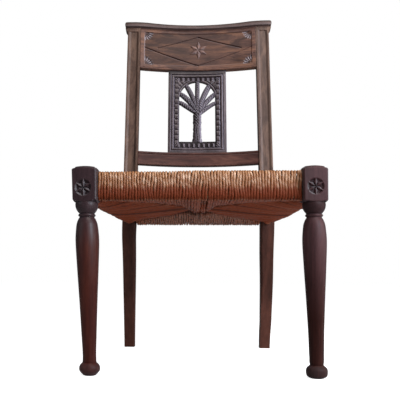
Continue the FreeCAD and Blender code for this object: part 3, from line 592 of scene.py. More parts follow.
def rear_leg_mesh(hand):
    """Points, faces, painted shade and painted highlights of one rear leg, in rings from the floor up."""
    field_start, field_end = STILE_START - 60.0, STILE_END - 11.0
    lengths = np.unique(joined([
        np.linspace(0, 40, 9), np.linspace(40, STILE_END, 150),
        field_end + np.array([-2.4, -1.6, -0.8, 0.0, 0.5]),
        STILE_END - np.array([14.0, 12.0, 9.5, 7.0, 5.0, 3.0, 1.5, 0.5])]))
    depth = np.interp(lengths, [0, LOWER + TURN / 2, STILE_END], [28 * math.cos(SPLAY), 34.0, 26.0])
    foot_z = lengths * math.cos(SPLAY)
    width = np.interp(foot_z, [0, 340], [FOOT_WIDTH, STILE_WIDTH])
    field = np.interp(ACROSS * STILE_WIDTH, FIELD_X, FIELD_CUT)
    facing = -hand * np.sign(np.gradient(field)) * (field < 2.5) * (field > 0.1)
    deep = smooth((lengths - field_start) / 30) * unit((field_end - lengths) / 2.2)
    chamfers = smooth((foot_z - 128) / 10) * smooth((STILE_START - lengths) / 60)
    ears = 7.4 * smooth((lengths - STILE_END + 15) / 15)
    back = ACROSS[::-1][[0, 2, 4, 8, 12, 16, 20, 22, 24]]
    side = np.array([0.08, 0.3, 0.5, 0.7, 0.92])
    rings, carved, pale = [], [], []
    for length, thick, wide, sunk, chamfer, ear in zip(lengths, depth, width, deep, chamfers, ears):
        x = ACROSS * wide
        slant = np.clip(4.2 - (wide - x), 0, None) * chamfer
        front = -thick / 2 + np.maximum(edge_round(np.minimum(x, wide - x), 1.3), slant) + field * sunk
        ring_x = joined([x, np.full(5, wide), back * wide, np.zeros(5)])
        ring_x = np.where(ring_x < 4.0, ring_x - ear * (1 - ring_x / 4.0), ring_x)
        rear_corner = np.where(np.minimum(back, 1 - back) * wide < 0.5, 1.0, 0)
        ring_d = joined([front, front[-1] + (thick / 2 - 1 - front[-1]) * side, thick / 2 - rear_corner,
                         (thick / 2 - 1) + (front[0] - thick / 2 + 1) * side])
        y, z, _ = leg_line(length - ring_d * math.tan(SPLAY) * max(0.0, 1 - length / 60))
        lean = leg_line(length)[2]
        rings.append(np.column_stack([ring_x, y + ring_d * math.cos(lean), z - ring_d * math.sin(lean)]))
        rest = np.zeros(len(ring_x) - len(x))
        # Painted shade in the sunk field and on its bevel turned from the light, and a painted highlight on
        # the bevel facing it; the left stile gets more painted shade and the right one a painted light.
        dark = np.maximum(field / 2.7 * 0.12, facing < 0) * sunk
        light = (0.3 if hand == RIGHT else 0.2) * (facing > 0) * sunk
        carved.append(np.append(dark, rest) + 0.16 * (hand == LEFT) * sunk)
        pale.append(np.append(light, rest) + 0.05 * (hand == RIGHT) * sunk)
    count = len(rings[0])
    points = joined(rings)
    points[:, 0] = (points[:, 0] - REAR_HALF - 1.8 * bell(points[:, 2], 350, 70)) * -hand
    points[:, 1] += FRONT
    height = points[:, 2]
    if hand == LEFT:
        points[:, 0] -= 2.1 * smooth((380 - height) / 80)
    else:
        points[:, 0] += 1.6 * bell(height, 190, 80) - 2.1 * smooth((85 - height) / 65)
    faces = [rings_to_faces(len(rings), count), *flipped([one_face(count)]),
             one_face(count, len(points) - count)]
    if hand == RIGHT:
        faces = flipped(faces)
    # Painted shadow of the seat on the leg below it.
    seat_shadow = 0.62 * smooth((height - 105) / 75) * smooth((425 - height) / 45)
    return points, faces, np.maximum(joined(carved), seat_shadow), joined(pale)


for side, hand in (("left", LEFT), ("right", RIGHT)):
    add_leg(f"stile_and_foot_{side}", f"rear_leg_{side}", rear_leg_mesh(hand), STILE, "brown_wood")


# Back boards, bent to one curve in plan.

INNER, HOLLOW, BOARD_FRONT = 170.0, 17.5, -11.5
CURVE = (INNER ** 2 + HOLLOW ** 2) / (2 * HOLLOW)
CREST_OBLONG, CREST_THICK = (INNER, 418.8, STILE_TOP), 18.0
PANEL, PANEL_DEEP = (158.3, 432.5, 538.5), 1.9
RAIL_OBLONG, RAIL_THICK, RAIL_GROOVE = (INNER, 122.2, 161.8), 15.0, 154.6
STAR_X, STAR_S, STAR_RADIUS, STAR_HALF, STAR_RISE = 1.5, 484.1, 27.5, 6.6, 3.2
FAN_RADIUS, FLUTES = 26.5, 5
# Carved lines from point to point: the diamond with its depth, the scratches with half width and depth.
DIAMOND = [((-157.0, 487.5), (0.0, 433.5), 2.1), ((0.0, 433.5), (157.5, 486.0), 1.4),
           ((-119.0, 488.5), (0.0, 527.0), 1.3), ((0.0, 527.0), (126.0, 486.5), 2.0)]
SCRATCHES = [((160.0, 465.5), (169.5, 465.2), 1.3, 2.0), ((102.0, 454.5), (136.0, 461.0), 1.1, 0.6)]


def hollow_at(x):
    """How far behind its ends the boards' curve lies at x."""
    return HOLLOW - CURVE + np.sqrt(CURVE ** 2 - x ** 2)


def v_cut(distance, half, depth):
    return depth * unit(1 - np.abs(distance) / half)


def off_segment(x, s, start, end):
    """Distance of points from a line between two points."""
    ax, ay = start
    dx, dy = end[0] - ax, end[1] - ay
    share = unit(((x - ax) * dx + (s - ay) * dy) / (dx * dx + dy * dy))
    return np.hypot(x - ax - dx * share, s - ay - dy * share)


def in_oblong(oblong, x, s):
    """How far inside an oblong points lie. It has half a width, a lower and an upper end."""
    half, low, high = oblong
    return np.minimum(half - np.abs(x), np.minimum(s - low, high - s))


def corner_fan(x, s):
    """Share of each flute's depth in the four fans, and how near a point is to a flute's outer end."""
    cut, end = np.zeros_like(x), np.zeros_like(x)
    half, low, high = PANEL
    from_side = half - np.abs(x)
    for from_end in (high - s, s - low):
        reach = np.hypot(np.maximum(from_side, 0), np.maximum(from_end, 0))
        turn = np.degrees(np.arctan2(np.maximum(from_end, 0), np.maximum(from_side, 0) + 1e-6)) / 90 * FLUTES
        flute = np.abs(np.sin(np.pi * turn))
        scallop = FAN_RADIUS - 2.6 * (1 - flute)
        inside = (from_side > 0.5) & (from_end > 0.5)
        bowl = flute ** 0.8 * smooth((reach - 3) / 11) * unit((scallop - reach) / 2.2)
        cut += np.where(inside, bowl, 0)
        end += np.where(inside, flute ** 2.4 * unit(1.4 - np.abs(reach - scallop + 7.0) / 6.5), 0)
    return cut, end


def crest_star(x, s, rise):
    return petals(x - STAR_X, s - STAR_S, STAR_RADIUS, STAR_HALF, rise)


def crest_depth(x, s):
    depth = PANEL_DEEP * smooth(in_oblong(PANEL, x, s) / 3.0)
    for start, end, deep in DIAMOND:
        depth += deep * unit(1.5 - 1.5 * off_segment(x, s, start, end) / (0.9 + 0.9 * deep))
    depth += 3.2 * corner_fan(x, s)[0]
    depth -= crest_star(x, s, STAR_RISE)
    depth += np.clip((421.4 - s) * 0.6, 0, None)
    for start, end, half, deep in SCRATCHES:
        depth += v_cut(off_segment(x, s, start, end), half, deep)
    depth += v_cut(s - 424.0, 1.0, 1.0)
    return depth + edge_round(INNER - np.abs(x), 1.8) + edge_round(STILE_TOP - s, 0.6)


def crest_wear_and_highlight(x, s):
    """Where the crest is drawn lighter: worn at the outer ends of the fans and on the star, and a painted
    highlight on the left edge of the sunk panel, the wall that faces the light.
    """
    edge = unit(1.2 - np.abs(x + PANEL[0] - 0.6)) * smooth((s - 446) / 12) * smooth((530 - s) / 10)
    return 0.95 * corner_fan(x, s)[1] + 0.4 * edge + 0.1 * smooth(crest_star(x, s, 1.0) * 3)


def rail_depth(x, s):
    return v_cut(s - RAIL_GROOVE, 1.5, 1.9) + edge_round(in_oblong(RAIL_OBLONG, x, s), 1.6)


def no_mark(x, s):
    return 0.0


def add_board(name, oblong, step, depth, front, thickness, material, slot, node, marks=4.0, inside=None,
              back=None, pale=no_mark, shade=None, darkening_and_shadow=no_mark, shift=0.0):
    """A board with carving, on the back's curve. At a point of its front, shade scales the painted shade in
    its cuts, the darkening function draws the wood darker for dark patches and painted shadow, and the
    lightening function draws it lighter for wear and painted highlights. A cut as deep as marks is wholly
    dark."""
    inside = inside or (lambda x, s: in_oblong(oblong, x, s))
    points, faces, plan = relief(
        oblong, step, inside, lambda x, s: front + hollow_at(x) + depth(x, s),
        back or (lambda x, s: front + hollow_at(x) + thickness - edge_round(inside(x, s), 1.5)))
    points[:, 0] += shift
    # Painted light: slopes that look toward the light are drawn lighter, as painted highlights, with less
    # painted shade in their cuts; slopes turned away get painted shade.
    slope = slope_to_light(depth, *plan.T)
    bright, away_from_light = np.maximum(slope, 0), np.maximum(-slope, 0)
    dark = depth(*plan.T) / marks * (1 - 0.8 * bright) * (shade(*plan.T) if shade else 1)
    dark = unit(dark + 0.4 * away_from_light + darkening_and_shadow(*plan.T))
    worn = unit(pale(*plan.T) + 0.3 * bright)
    carved, light = (joined([mark, np.zeros(len(plan))]) for mark in (dark, worn))
    return add_piece(name, on_back(points), faces, material, slot, node, carved=carved, pale=light)


# The painted shade in the crest's cuts grows towards the left, away from the light; one dark patch lies low
# on the right.
add_board("carved_crest", CREST_OBLONG, 0.6, crest_depth, BOARD_FRONT, CREST_THICK, CREST, "brown_wood",
          "crest_rail", marks=5.0, pale=crest_wear_and_highlight, shade=lambda x, s: 1.2 - 0.7 * x / INNER,
          darkening_and_shadow=lambda x, s: 0.5 * bell(x, 125, 28) * bell(s, 446, 15))
# The rail is drawn darker towards both ends.
add_board("low_rail", RAIL_OBLONG, 1.0, rail_depth, BOARD_FRONT, RAIL_THICK, RAIL, "brown_wood",
          "lower_back_rail", darkening_and_shadow=lambda x, s: 0.3 * smooth((np.abs(x) - 60) / 80))


# Splat: moulded and gadrooned frame round an arched window, with a palm tree in it.

SPLAT_OBLONG, SPLAT_THICK = (84.0, 160.6, 421.0), 13.0
SPLAT_FRONT, SPLAT_SHIFT = BOARD_FRONT + 2.0, -2.2
FRAME_TOP, MOULD_WIDTH = 414.6, 17.6
WINDOW, SILL, SPRING = 52.0, 197.0, 332.6
CROWN = 288.0
TRUNK_S = [SILL - 4, SILL + 5, 215, 240, 258, 272, CROWN + 12]
TRUNK_HALF = [16.0, 13.8, 12.2, 11.5, 12.0, 12.2, 10.0]
LEAF_ALONG, LEAF_SHAPE = [0, 0.12, 0.35, 0.6, 0.85, 0.95, 1.0], [0.72, 0.86, 1.0, 1.04, 0.99, 0.88, 0.66]
MOULD_AT = [0, 0.8, 2.0, 5.4, 6.6, 7.4, 9.2, 11.0, 12.0, 14.8, 15.8, 17.8]
MOULD_CUT = [1.6, 0.9, 0.6, 0.4, 0.0, 0.2, 2.6, 0.5, 0.1, 0.3, 1.4, 4.0]
ARCH_RIM = 5.4
# Each frond: side, x and s of its root, x and s of its tip, bow, and half width.
FRONDS = [(LEFT, 9.0, 290.0, 52.0, 320.5, 1.5, 6.8), (LEFT, 7.0, 300.0, 49.5, 347.5, 3.5, 7.7),
          (LEFT, 4.5, 309.0, 35.0, 378.0, 3.0, 6.9), (RIGHT, 0.0, 300.0, 0.5, 391.0, 0.0, 6.7),
          (RIGHT, 8.0, 306.0, 37.5, 375.5, 3.0, 7.8), (RIGHT, 9.0, 296.0, 52.5, 346.5, 2.5, 6.8),
          (RIGHT, 8.0, 284.0, 54.5, 318.5, 2.5, 5.8)]


def in_window(x, s):
    straight = np.minimum(WINDOW - np.abs(x), s - SILL)
    return np.where(s < SPRING, straight, WINDOW - np.hypot(x, s - SPRING))


def palm(x, s):
    """How far inside the palm a point is, and how deep its face is cut there."""
    trunk_half = np.interp(s, TRUNK_S, TRUNK_HALF) + 0.45 * np.sin(s / 3.1) + 0.3 * np.sin(s / 1.7 + 1.0)
    inside = np.minimum(trunk_half - np.abs(x), CROWN + 16 - s)
    scale = np.abs(((s / 9.0 + x / 8.0) % 1.0) - 0.5) + np.abs(((s / 9.0 - x / 8.0) % 1.0) - 0.5)
    low = smooth((252 - s) / 12)
    folds = v_cut(x + 1.8 + 0.9 * np.sin(s / 7.0), 1.9, 3.2)
    folds += v_cut(x - 5.2 + 0.7 * np.sin(s / 5.0), 1.4, 1.8)
    bark = 2.6 * (1 - scale) * (1 - 0.7 * low) + folds * low + 0.35 * np.sin(s * 1.9 + 2.0 * np.sin(x * 0.9))
    depth = 0.6 + 5.5 * unit(np.abs(x) / trunk_half) ** 2 + bark
    for hand, root_x, root_s, tip_x, tip_s, bow, half in FRONDS:
        run, climb = tip_x - root_x, tip_s - root_s
        length = math.hypot(run, climb)
        dx, ds = x * hand - root_x, s - root_s
        along = (dx * run + ds * climb) / length ** 2
        held = unit(along)
        across = (dx * -climb + ds * run) / length - bow * 4 * held * (1 - held)
        width = half * np.interp(held, LEAF_ALONG, LEAF_SHAPE)
        leaf = width - np.hypot(across, (held - along) * length)
        notch = 1.6 * (0.5 + 0.5 * np.sin(2 * np.pi * (along * length / 7.0 + np.abs(across) / 8.0)))
        rib = v_cut(across, 0.9, 0.6)
        face = 0.2 + 4.6 * unit(np.abs(across) / np.maximum(width, 1)) ** 2 + notch + rib
        depth = np.where((leaf > 0) & ((leaf > inside) | (face < depth)), face, depth)
        inside = np.maximum(inside, leaf)
    return inside, depth


def splat_inside(x, s):
    return np.minimum(in_oblong(SPLAT_OBLONG, x, s), np.maximum(-in_window(x, s), palm(x, s)[0]))


def lobes(place, pitch):
    """Rounded lobes side by side: 1 on a lobe's ridge and 0 in the cut between two."""
    share = np.abs(((place / pitch) % 1.0) - 0.5) * 2
    return np.sqrt(unit(1 - share ** 2.6))


def splat_depth(x, s):
    """Outer moulding, gadrooned band, leaves over the arch and palm of the splat."""
    half, low, _ = SPLAT_OBLONG
    side = half - np.abs(x)
    ends = np.minimum(s - low, np.maximum(FRAME_TOP - s, 0.0))
    within = np.minimum(side, ends)
    upright_lobe = np.where(x < 0, lobes(s - 185.2, 16.06), lobes(s - 180.4, 16.2))
    bars = [unit(1 - np.abs((place % 1.0) - 0.5) * thin) ** 0.7
            for place, thin in (((x + 6.5) / 14.4, 2.6), ((x + 4.0) / 14.2, 3.4))]
    in_corner = (side < 29.5) & (ends < 30.5)
    slant = lobes((side - ends) / math.sqrt(2) + 2.6, 5.4)
    lobe = np.where(in_corner, slant, np.where(side < ends, upright_lobe, np.where(s > SPRING, *bars)))
    band = 4.4 - 3.8 * lobe * smooth((within - MOULD_WIDTH) / 2.6) * smooth((30.6 - within) / 2.6)
    reach = np.hypot(x, s - SPRING) - WINDOW
    turn = np.degrees(np.arctan2(np.abs(x), s - SPRING))
    rim = np.interp(reach, [0, 1.2, 3.0, 4.6, ARCH_RIM], [2.0, 0.8, 0.6, 1.2, 3.2])
    leaf = 3.4 - 2.2 * lobes(turn - 45, 9.0) * smooth((reach - ARCH_RIM) / 3.0)
    over_arch = (s > SPRING - 2) & (within > 29.0)
    mould = np.interp(within, MOULD_AT, MOULD_CUT) + 0.8 * smooth((s - 398) / 8)
    inner = np.where(over_arch, np.where(reach < ARCH_RIM, rim, leaf), band)
    tree, face = palm(x, s)
    on_tree = (in_window(x, s) > 0) & (tree > -2)
    return np.where(on_tree, face + 0.8, np.where(within < MOULD_WIDTH, mould, inner))


def on_palm(x, s):
    return (palm(x, s)[0] > 0) & (in_window(x, s) > -2)


def splat_highlight(x, s):
    """Painted highlights on the splat: the right flank of the trunk, the leaves, more to the right, and the
    frame's slopes on the right that face the light.
    """
    rough = 0.6 + 0.4 * np.sin(s * 1.3 + 3.0 * np.sin(x * 0.8 + s * 0.21))
    trunk = smooth((x - 4.5) / 5.0) * (s < CROWN)
    leaves = (0.12 + 0.25 * smooth(x / 12.0)) * (s >= CROWN)
    frame_highlight = 0.3 * smooth((x - 50) / 15) * np.maximum(slope_to_light(splat_depth, x, s), 0)
    return np.where(on_palm(x, s), (0.85 * trunk + leaves) * rough, frame_highlight)


def splat_shade(x, s):
    """Strength of the painted shade in the cuts: half on the palm, and more on the frame at its top, under
    the crest, and at the left, away from the light.
    """
    frame_shade = 1.0 + 0.5 * smooth((-50 - x) / 10) * (x > -68) + 0.8 * smooth((s - 392) / 14)
    return np.where(on_palm(x, s), 0.5, frame_shade)


def splat_spots_and_shadow(x, s):
    """Painted shadow on the frame under the crest, painted shade at its left, away from the light, and dark
    spots on the palm.
    """
    spots = (0.5 + 0.5 * np.sin(x * 0.55 + s * 0.35) * np.sin(s * 0.52 - x * 0.3)) ** 2
    frame_shadow = 0.45 * smooth((s - 402) / 14) + 0.12 * smooth((-62 - x) / 6)
    return np.where(on_palm(x, s), 0.4 * spots, frame_shadow)


def splat_back(x, s):
    """The splat's rear face, which lies nearer at the palm."""
    thinner = 2.0 * smooth(in_window(x, s) / 2.0)
    return SPLAT_FRONT + hollow_at(x) + SPLAT_THICK - thinner - edge_round(splat_inside(x, s), 1.4)


add_board("carved_splat", SPLAT_OBLONG, 0.7, splat_depth, SPLAT_FRONT, SPLAT_THICK, SPLAT, "splat_wood",
          "splat", marks=4.6, inside=splat_inside, back=splat_back, pale=splat_highlight, shade=splat_shade,
          darkening_and_shadow=splat_spots_and_shadow, shift=SPLAT_SHIFT)


# Crest cap: a nosing, a cove and a rounded band that follow the back in plan.

CAP_FACE = -13.0
CAP_CURVE_END, CAP_STRAIGHT = 144.0, 196.0
NOSING_LOW, NOSING_RISE = 550.8, 10.8
# Each row: level, how far it stands out, how much darker it is drawn, and how much lighter. The darkening is
# painted shadow in the cove and under the nosing, and the top is drawn darker too; the lightening is a
# painted highlight on the nosing's lower part.
CAP_PROFILE = [
    (547.5, -1.0, 0.2, 0.0), (547.6, 0.6, 0.2, 0.0), (548.2, 1.2, 0.3, 0.0), (549.6, 2.2, 0.7, 0.0),
    (550.0, 5.2, 0.8, 0.05), (550.8, 6.8, 0.2, 0.25), (552.6, 7.8, 0.05, 0.22), (555.2, 8.0, 0.3, 0.05),
    (557.8, 7.7, 0.6, 0.0), (559.8, 6.6, 0.9, 0.0), (561.0, 5.0, 0.8, 0.0), (561.6, 2.6, 0.6, 0.0),
    (561.6, -3.0, 0.5, 0.0)]


def cap_outline(grow):
    """The cap's plan, grown on all sides."""
    end, face, blend = REAR_HALF + grow, CAP_FACE - grow, CAP_STRAIGHT - CAP_CURVE_END
    xs = joined([np.linspace(0, CAP_CURVE_END, 37), np.linspace(CAP_CURVE_END, CAP_STRAIGHT, 27)[1:],
                 [end - 2.0]])
    slope = -CAP_CURVE_END / math.sqrt(CURVE ** 2 - CAP_CURVE_END ** 2)
    share = unit((xs - CAP_CURVE_END) / blend)
    eased = hollow_at(CAP_CURVE_END) * (1 - smooth(share)) + slope * blend * share * (1 - share) ** 2
    hollow = np.where(xs < CAP_CURVE_END, hollow_at(np.minimum(xs, INNER)), eased)
    corner = [(end - 0.6, face + 0.6), (end, face + 2.0), (end, -face - 2.0), (end - 0.6, -face - 0.6)]
    half = joined([np.column_stack([xs, face + hollow]), corner, np.column_stack([xs, hollow - face])[::-1]])
    return joined([half, half[::-1][1:-1] * (-1, 1)])


def add_cap():
    rings = []
    for level, grow, _, _ in CAP_PROFILE:
        ring = np.insert(cap_outline(grow), 2, level, axis=1)
        thicker = 1.0 + 2.4 * (np.minimum(np.abs(ring[:, 0]), 150) / 140) ** 2
        ring[:, 2] += max(0.0, (level - NOSING_LOW) / NOSING_RISE) * thicker
        rings.append(ring)
    around = len(rings[0])
    half_way = (around + 2) // 2
    near = np.arange(half_way // 2)
    far = half_way - 1 - near
    right = np.stack([near[:-1], near[1:], far[1:], far[:-1]], 1)
    lid = joined([right, ((around - right) % around)[:, ::-1]])
    faces = [rings_to_faces(len(rings), around), lid[:, ::-1], lid + (len(rings) - 1) * around]
    carved, pale = (np.repeat(values, around) for values in list(zip(*CAP_PROFILE))[2:])
    add_piece("cap_moulding", on_back(joined(rings)), faces, CAP, "brown_wood", "crest_cap", sharp=50,
              carved=carved, pale=pale)


add_cap()


# Rush seat: every cord runs from a seam over its rail, down the face and back to the seam underneath.

APEX_Y = 226.0
CORNER_FRONT, CORNER_REAR = (214.7, 50.0), (169.7, 391.5)
FRONT_FACE, REAR_FACE = 14.0, 435.5
FRONT_LEFT_END, FRONT_RIGHT_END, LAST_SIDE_CORD = -217.3, 211.6, 402.0
TOP, CORD = 29.5, 3.0
SHORTEST, GAP_X, GAP_HALF, GAP_EDGE, GAP_Y = 19.0, 10.0, 4.5, 10.0, 217.0
FRONT_CORDS, REAR_CORDS, SIDE_CORDS, CORD_POINTS = 72, 57, 60, 10


def side_face(y):
    """Where the outside of the seat's side lies, at a distance y behind the chair's front."""
    return 240.0 - 58.0 * (y - 24.0) / 396.0 + 15.66


def seam_at(x, corner):
    """How far back the seam from a corner of the seat to its apex lies at x."""
    return corner[1] + (APEX_Y - corner[1]) * (1 - np.abs(x) / corner[0])


def seam_on_side(y):
    corner = CORNER_FRONT if y < APEX_Y else CORNER_REAR
    return corner[0] * (y - APEX_Y) / (corner[1] - APEX_Y)


def wrap(length, top, low, recess, lift=0.0):
    """One cord round a rail, from the upper to the lower seam: distance in from the rail's face, and height.
    The lower run rises by the recess towards its seam. lift pulls its first part up."""
    bend = 13.0
    inner = bend - CORD
    run = np.arange(length - 2.0, bend + 2.0, -4.5) if length > bend + 8 else np.array([length - 3.0])
    rest = unit((run - bend) / max(length - bend, 1.0))
    swell = np.sin(np.pi * rest) * min(3.0, length / 40.0)
    dip = 5.5 * smooth((run - (length - 12)) / 12)
    turn = np.radians(np.linspace(90, 180, 9))
    curve_d, curve = bend + inner * np.cos(turn), inner * np.sin(turn) - bend
    face_z = np.linspace(top - bend, -(low - bend), 9)[1:-1]
    ends = [length + 3.5, length + 1.5]
    d = joined([ends, run, curve_d, np.full(len(face_z), CORD), curve_d[::-1], run[::-1], ends[::-1]])
    below = -(low - CORD) - 0.4 * swell + 0.5 * dip + recess * smooth(rest * 0.9 + 0.1 * rest ** 3)
    below += lift * smooth(rest * 8) * smooth((0.62 - rest) * 8)
    z = joined([[top - 20, top - 12], top - CORD + swell - dip, top + curve, face_z, -low - curve[::-1],
                below[::-1], [below[0] + 8, below[0] + 15]])
    return d, z


def cord_line(start, inward, shape, drift):
    """The middle line of a cord round a rail. drift is how far it wanders sideways at each of its heights."""
    d, z = wrap(*shape)
    along = joined([[0], np.cumsum(np.hypot(np.diff(d), np.diff(z)))])
    stray = drift(along, d, z)
    plan = [begin + (way * d if way else stray) for begin, way in zip(start, inward)]
    return np.stack([*plan, z], 1), along


def wander(place):
    """How a cord strays sideways: partly with its neighbours, partly alone."""
    one, two = DICE.uniform(0, 2 * math.pi, 2)
    alone, quick = DICE.uniform(0.3, 0.95), DICE.uniform(0.0, 0.3)

    def drift(along, d, z):
        held = smooth((d - 1.0) / 6.0) * 0.3 + 0.7
        shared = 1.5 * np.sin(place / 23.0 + z / 12.0) * np.sin(place / 57.0 + z / 23.0 + 1.0)
        shared += 0.8 * np.sin(place / 9.0 + z / 9.0 + 2.0 * np.sin(place / 71.0))
        return held * (shared + alone * np.sin(along / 11.0 + one) + quick * np.sin(along / 4.5 + two))

    return drift


def tube(line, along, radius, around, lay):
    """A ring of points round each point of a line, and each ring's mark."""
    ahead = np.gradient(line, axis=0)
    ahead /= np.linalg.norm(ahead, axis=1)[:, None]
    side = np.broadcast_to(np.array(lay, float), ahead.shape)
    side = side - ahead * (side * ahead).sum(1)[:, None]
    side /= np.linalg.norm(side, axis=1)[:, None]
    out = np.cross(ahead, side)
    cosine, sine = circle(around)
    ring = cosine[:, None] * side[:, None] + sine[:, None] * out[:, None]
    marks = np.stack([np.repeat(along[:, None] / 1000, around, 1), np.tile(cosine, (len(line), 1)),
                      np.tile(sine, (len(line), 1))], -1)
    return (line[:, None] + radius[:, None, None] * ring).reshape(-1, 3), marks.reshape(-1, 3)


def seat_cords():
    """Start, direction inward, shape, place along the weave, spread at a gap and shadow of every cord."""
    cords = []
    pitch = (FRONT_RIGHT_END - FRONT_LEFT_END) / FRONT_CORDS
    for k in range(FRONT_CORDS):
        x = FRONT_LEFT_END + pitch * (k + 0.5)
        from_gap = abs(x - GAP_X)
        spread = 1.6 * np.sign(x - GAP_X) * (GAP_HALF <= from_gap < GAP_EDGE)
        shape = (max(seam_at(x, CORNER_FRONT) - FRONT_FACE + DICE.uniform(-3, 3), SHORTEST),
                 TOP + 4.6 + 1.9 * smooth((x + 100) / 110), TOP + DICE.uniform(-0.5, 0.5),
                 14.0 * smooth((abs(x) - 6) / 38), 8.0 * (from_gap < GAP_HALF))
        cords.append(((x, FRONT_FACE), (0, 1), shape, x, spread, False))
    pitch = 2 * CORNER_REAR[0] / REAR_CORDS
    for k in range(REAR_CORDS):
        x = -CORNER_REAR[0] + pitch * (k + 0.5)
        shape = (max(REAR_FACE - seam_at(x, CORNER_REAR), SHORTEST), TOP + 1.0,
                 TOP + 2.6 + DICE.uniform(-0.5, 0.5), 8.0 * smooth((abs(x) - 4) / 30))
        cords.append(((x, REAR_FACE), (0, -1), shape, x + 300, 0.0, False))
    for hand in (LEFT, RIGHT):
        steps = DICE.uniform(0.86, 1.14, SIDE_CORDS)
        spots = np.cumsum(steps) - steps / 2
        spots = CORNER_FRONT[1] + (LAST_SIDE_CORD - CORNER_FRONT[1]) * spots / steps.sum()
        level = 0.0
        for y in spots:
            level = 0.6 * level + DICE.uniform(-0.8, 0.8)
            low = TOP + 2.2 + level + 3.2 * (hand == RIGHT) * math.exp(-((y - 235) / 75) ** 2)
            dark = abs(y - GAP_Y) < 6.5 or DICE.uniform(0, 1) < 0.16
            shape = (max(side_face(y) - seam_on_side(y), SHORTEST), TOP + 1.0, low,
                     15.0 - 6.0 * smooth((y - APEX_Y) / 60))
            cords.append(((hand * side_face(y), y), (-hand, 0), shape, y + 700 * hand, 0.0, dark))
    return cords


# Loose cords that hang under the seat: x, y, reach and drop.
HANGING_CORDS = [(-2.5, 196.0, 30.0, 4.0), (1.5, 204.0, 34.0, 9.0), (5.5, 192.0, 30.0, 6.0)]
STAIN_AND_SHADE_LEVELS, STAIN_AND_SHADE_SHARES = [-13, -5, 2, 14, 24], [1.0, 0.92, 0.5, 0.16, 0.0]


def add_cords():
    """The woven seat. A cord's marks are its strand, tint, age, a darker lower front that is aged rush and
    painted shade, and the painted shade of its seam.
    """
    shells, faces, marks = [], [], {name: [] for name in ("strand", "tint", "age", "stain_and_shade", "seam")}

    def keep(shell, *values):
        start = sum(len(other) for other in shells)
        faces.append(rings_to_faces(len(shell) // CORD_POINTS, CORD_POINTS, start=start))
        shells.append(shell)
        for parts, value in zip(marks.values(), values):
            parts.append(np.full(len(shell), value) if np.ndim(value) == 0 else value)

    for begin, inward, shape, place, spread, dark in seat_cords():
        line, along = cord_line(begin, inward, shape, wander(place))
        line[:, 0] += spread * (line[:, 2] < -20)
        lumps = 1 + 0.04 * np.sin(along / 8.0 + place) + 0.025 * np.sin(along / 3.3 + place * 2)
        radius = CORD * DICE.uniform(0.98, 1.09) * lumps
        radius *= 1 + 0.09 * smooth((8 - line[:, 2]) / 14) * (inward[1] > 0)
        lay = (inward[1], -inward[0], 0)
        shell, strand = tube(line, along + DICE.uniform(0, 400), radius, CORD_POINTS, lay)
        tint = 0.0 if dark else DICE.uniform(0.21, 1)
        level = np.repeat(line[:, 2], CORD_POINTS)
        inside = np.repeat(np.abs(line[:, :2] - begin).sum(1), CORD_POINTS)
        seam = 0.8 * smooth((inside - shape[0] + 9.0) / 8.0) * (level < 0)
        under = smooth((inside - 7) / 8)
        # The lower front of the roll is darker and redder, partly aged rush and partly painted shade under
        # light from above.
        stain_and_shade = np.interp(level + DICE.uniform(-3.5, 3.5), STAIN_AND_SHADE_LEVELS, STAIN_AND_SHADE_SHARES)
        stain_and_shade *= (1 - under) * (1.0 if inward[1] > 0 else 0.8)
        age = np.clip((6.0 - level) / 22.0 + DICE.uniform(-0.2, 0.2), 0, 0.92) * under
        if inward[1] < 0:
            age = np.maximum(age - 0.25, 0)
        keep(shell, strand, tint, age, stain_and_shade, seam)
    for x, y, reach, drop in HANGING_CORDS:
        step = np.linspace(0, 1, 14)
        line = np.column_stack([x + 2.0 * np.sin(step * 3 + x), y + reach * step,
                                -TOP - 1.0 - drop * np.sin(step * 2.4)])
        radius = 2.6 * np.sqrt(np.clip(1 - step ** 5, 0.02, 1))
        shell, strand = tube(line, step * reach, radius, CORD_POINTS, (1, 0, 0))
        keep(shell, strand * (1, 1, -1), 0.3, 0.25, 0.0, 0.0)
    return add_piece("rush_cords", on_seat(joined(shells)), faces, RUSH, "rush", "rush_seat", sharp=180,
                     **{name: joined(parts) for name, parts in marks.items()})


add_cords()


def add_wad(side, first, second):
    """A pillow of dry leaves in one of the seat's pockets, fat towards its rail and thin at its point."""
    grid, thick = 22, 21.5
    keys = [(i, j) for i in range(grid + 1) for j in range(grid + 1 - i)]
    number = {key: place for place, key in enumerate(keys)}
    a, b = np.array(keys).T / grid
    c = 1 - a - b
    x, y = np.outer(first, a) + np.outer(second, b) + np.outer((0.0, APEX_Y), c)
    rim = np.minimum(np.minimum(a, b), c) * 3
    swell = thick * (1 - (1 - np.minimum(1.0, rim * 2.4)) ** 2.4) * (0.72 + 0.28 * (1 - c))
    swell += 0.5 * np.sin(x / 5.0) * np.sin(y / 6.0) * np.minimum(1.0, rim * 4)
    top = np.stack([x, y, np.maximum(swell, 0.0)], 1)
    faces = []
    for i, j in keys:
        if i + j < grid:
            faces.append((number[i, j], number[i + 1, j], number[i, j + 1]))
        if i + j < grid - 1:
            faces.append((number[i + 1, j], number[i + 1, j + 1], number[i, j + 1]))
    faces = np.array(faces)
    piece = add_piece(f"leaf_wad_{side}", on_seat(joined([top, top * (1, 1, -0.66)])),
                      [faces, faces[:, ::-1] + len(top)], STUFFING, "stuffing", f"rush_wad_{side}", sharp=180)


for wad in (("front", (-205.0, 44.0), (205.0, 44.0)), ("rear", (160.0, 407.0), (-160.0, 407.0)),
            ("left", (-170.0, 385.0), (-222.0, 58.0)), ("right", (222.0, 58.0), (170.0, 385.0))):
    add_wad(*wad)

for name in ("seat_rail_front", "seat_rail_rear", "seat_rail_left", "seat_rail_right"):
    for material_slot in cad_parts[name].material_slots:
        material_slot.material = PLAIN


# Studio: a white floor that keeps a soft shadow, a white surround, soft lamps and the camera.

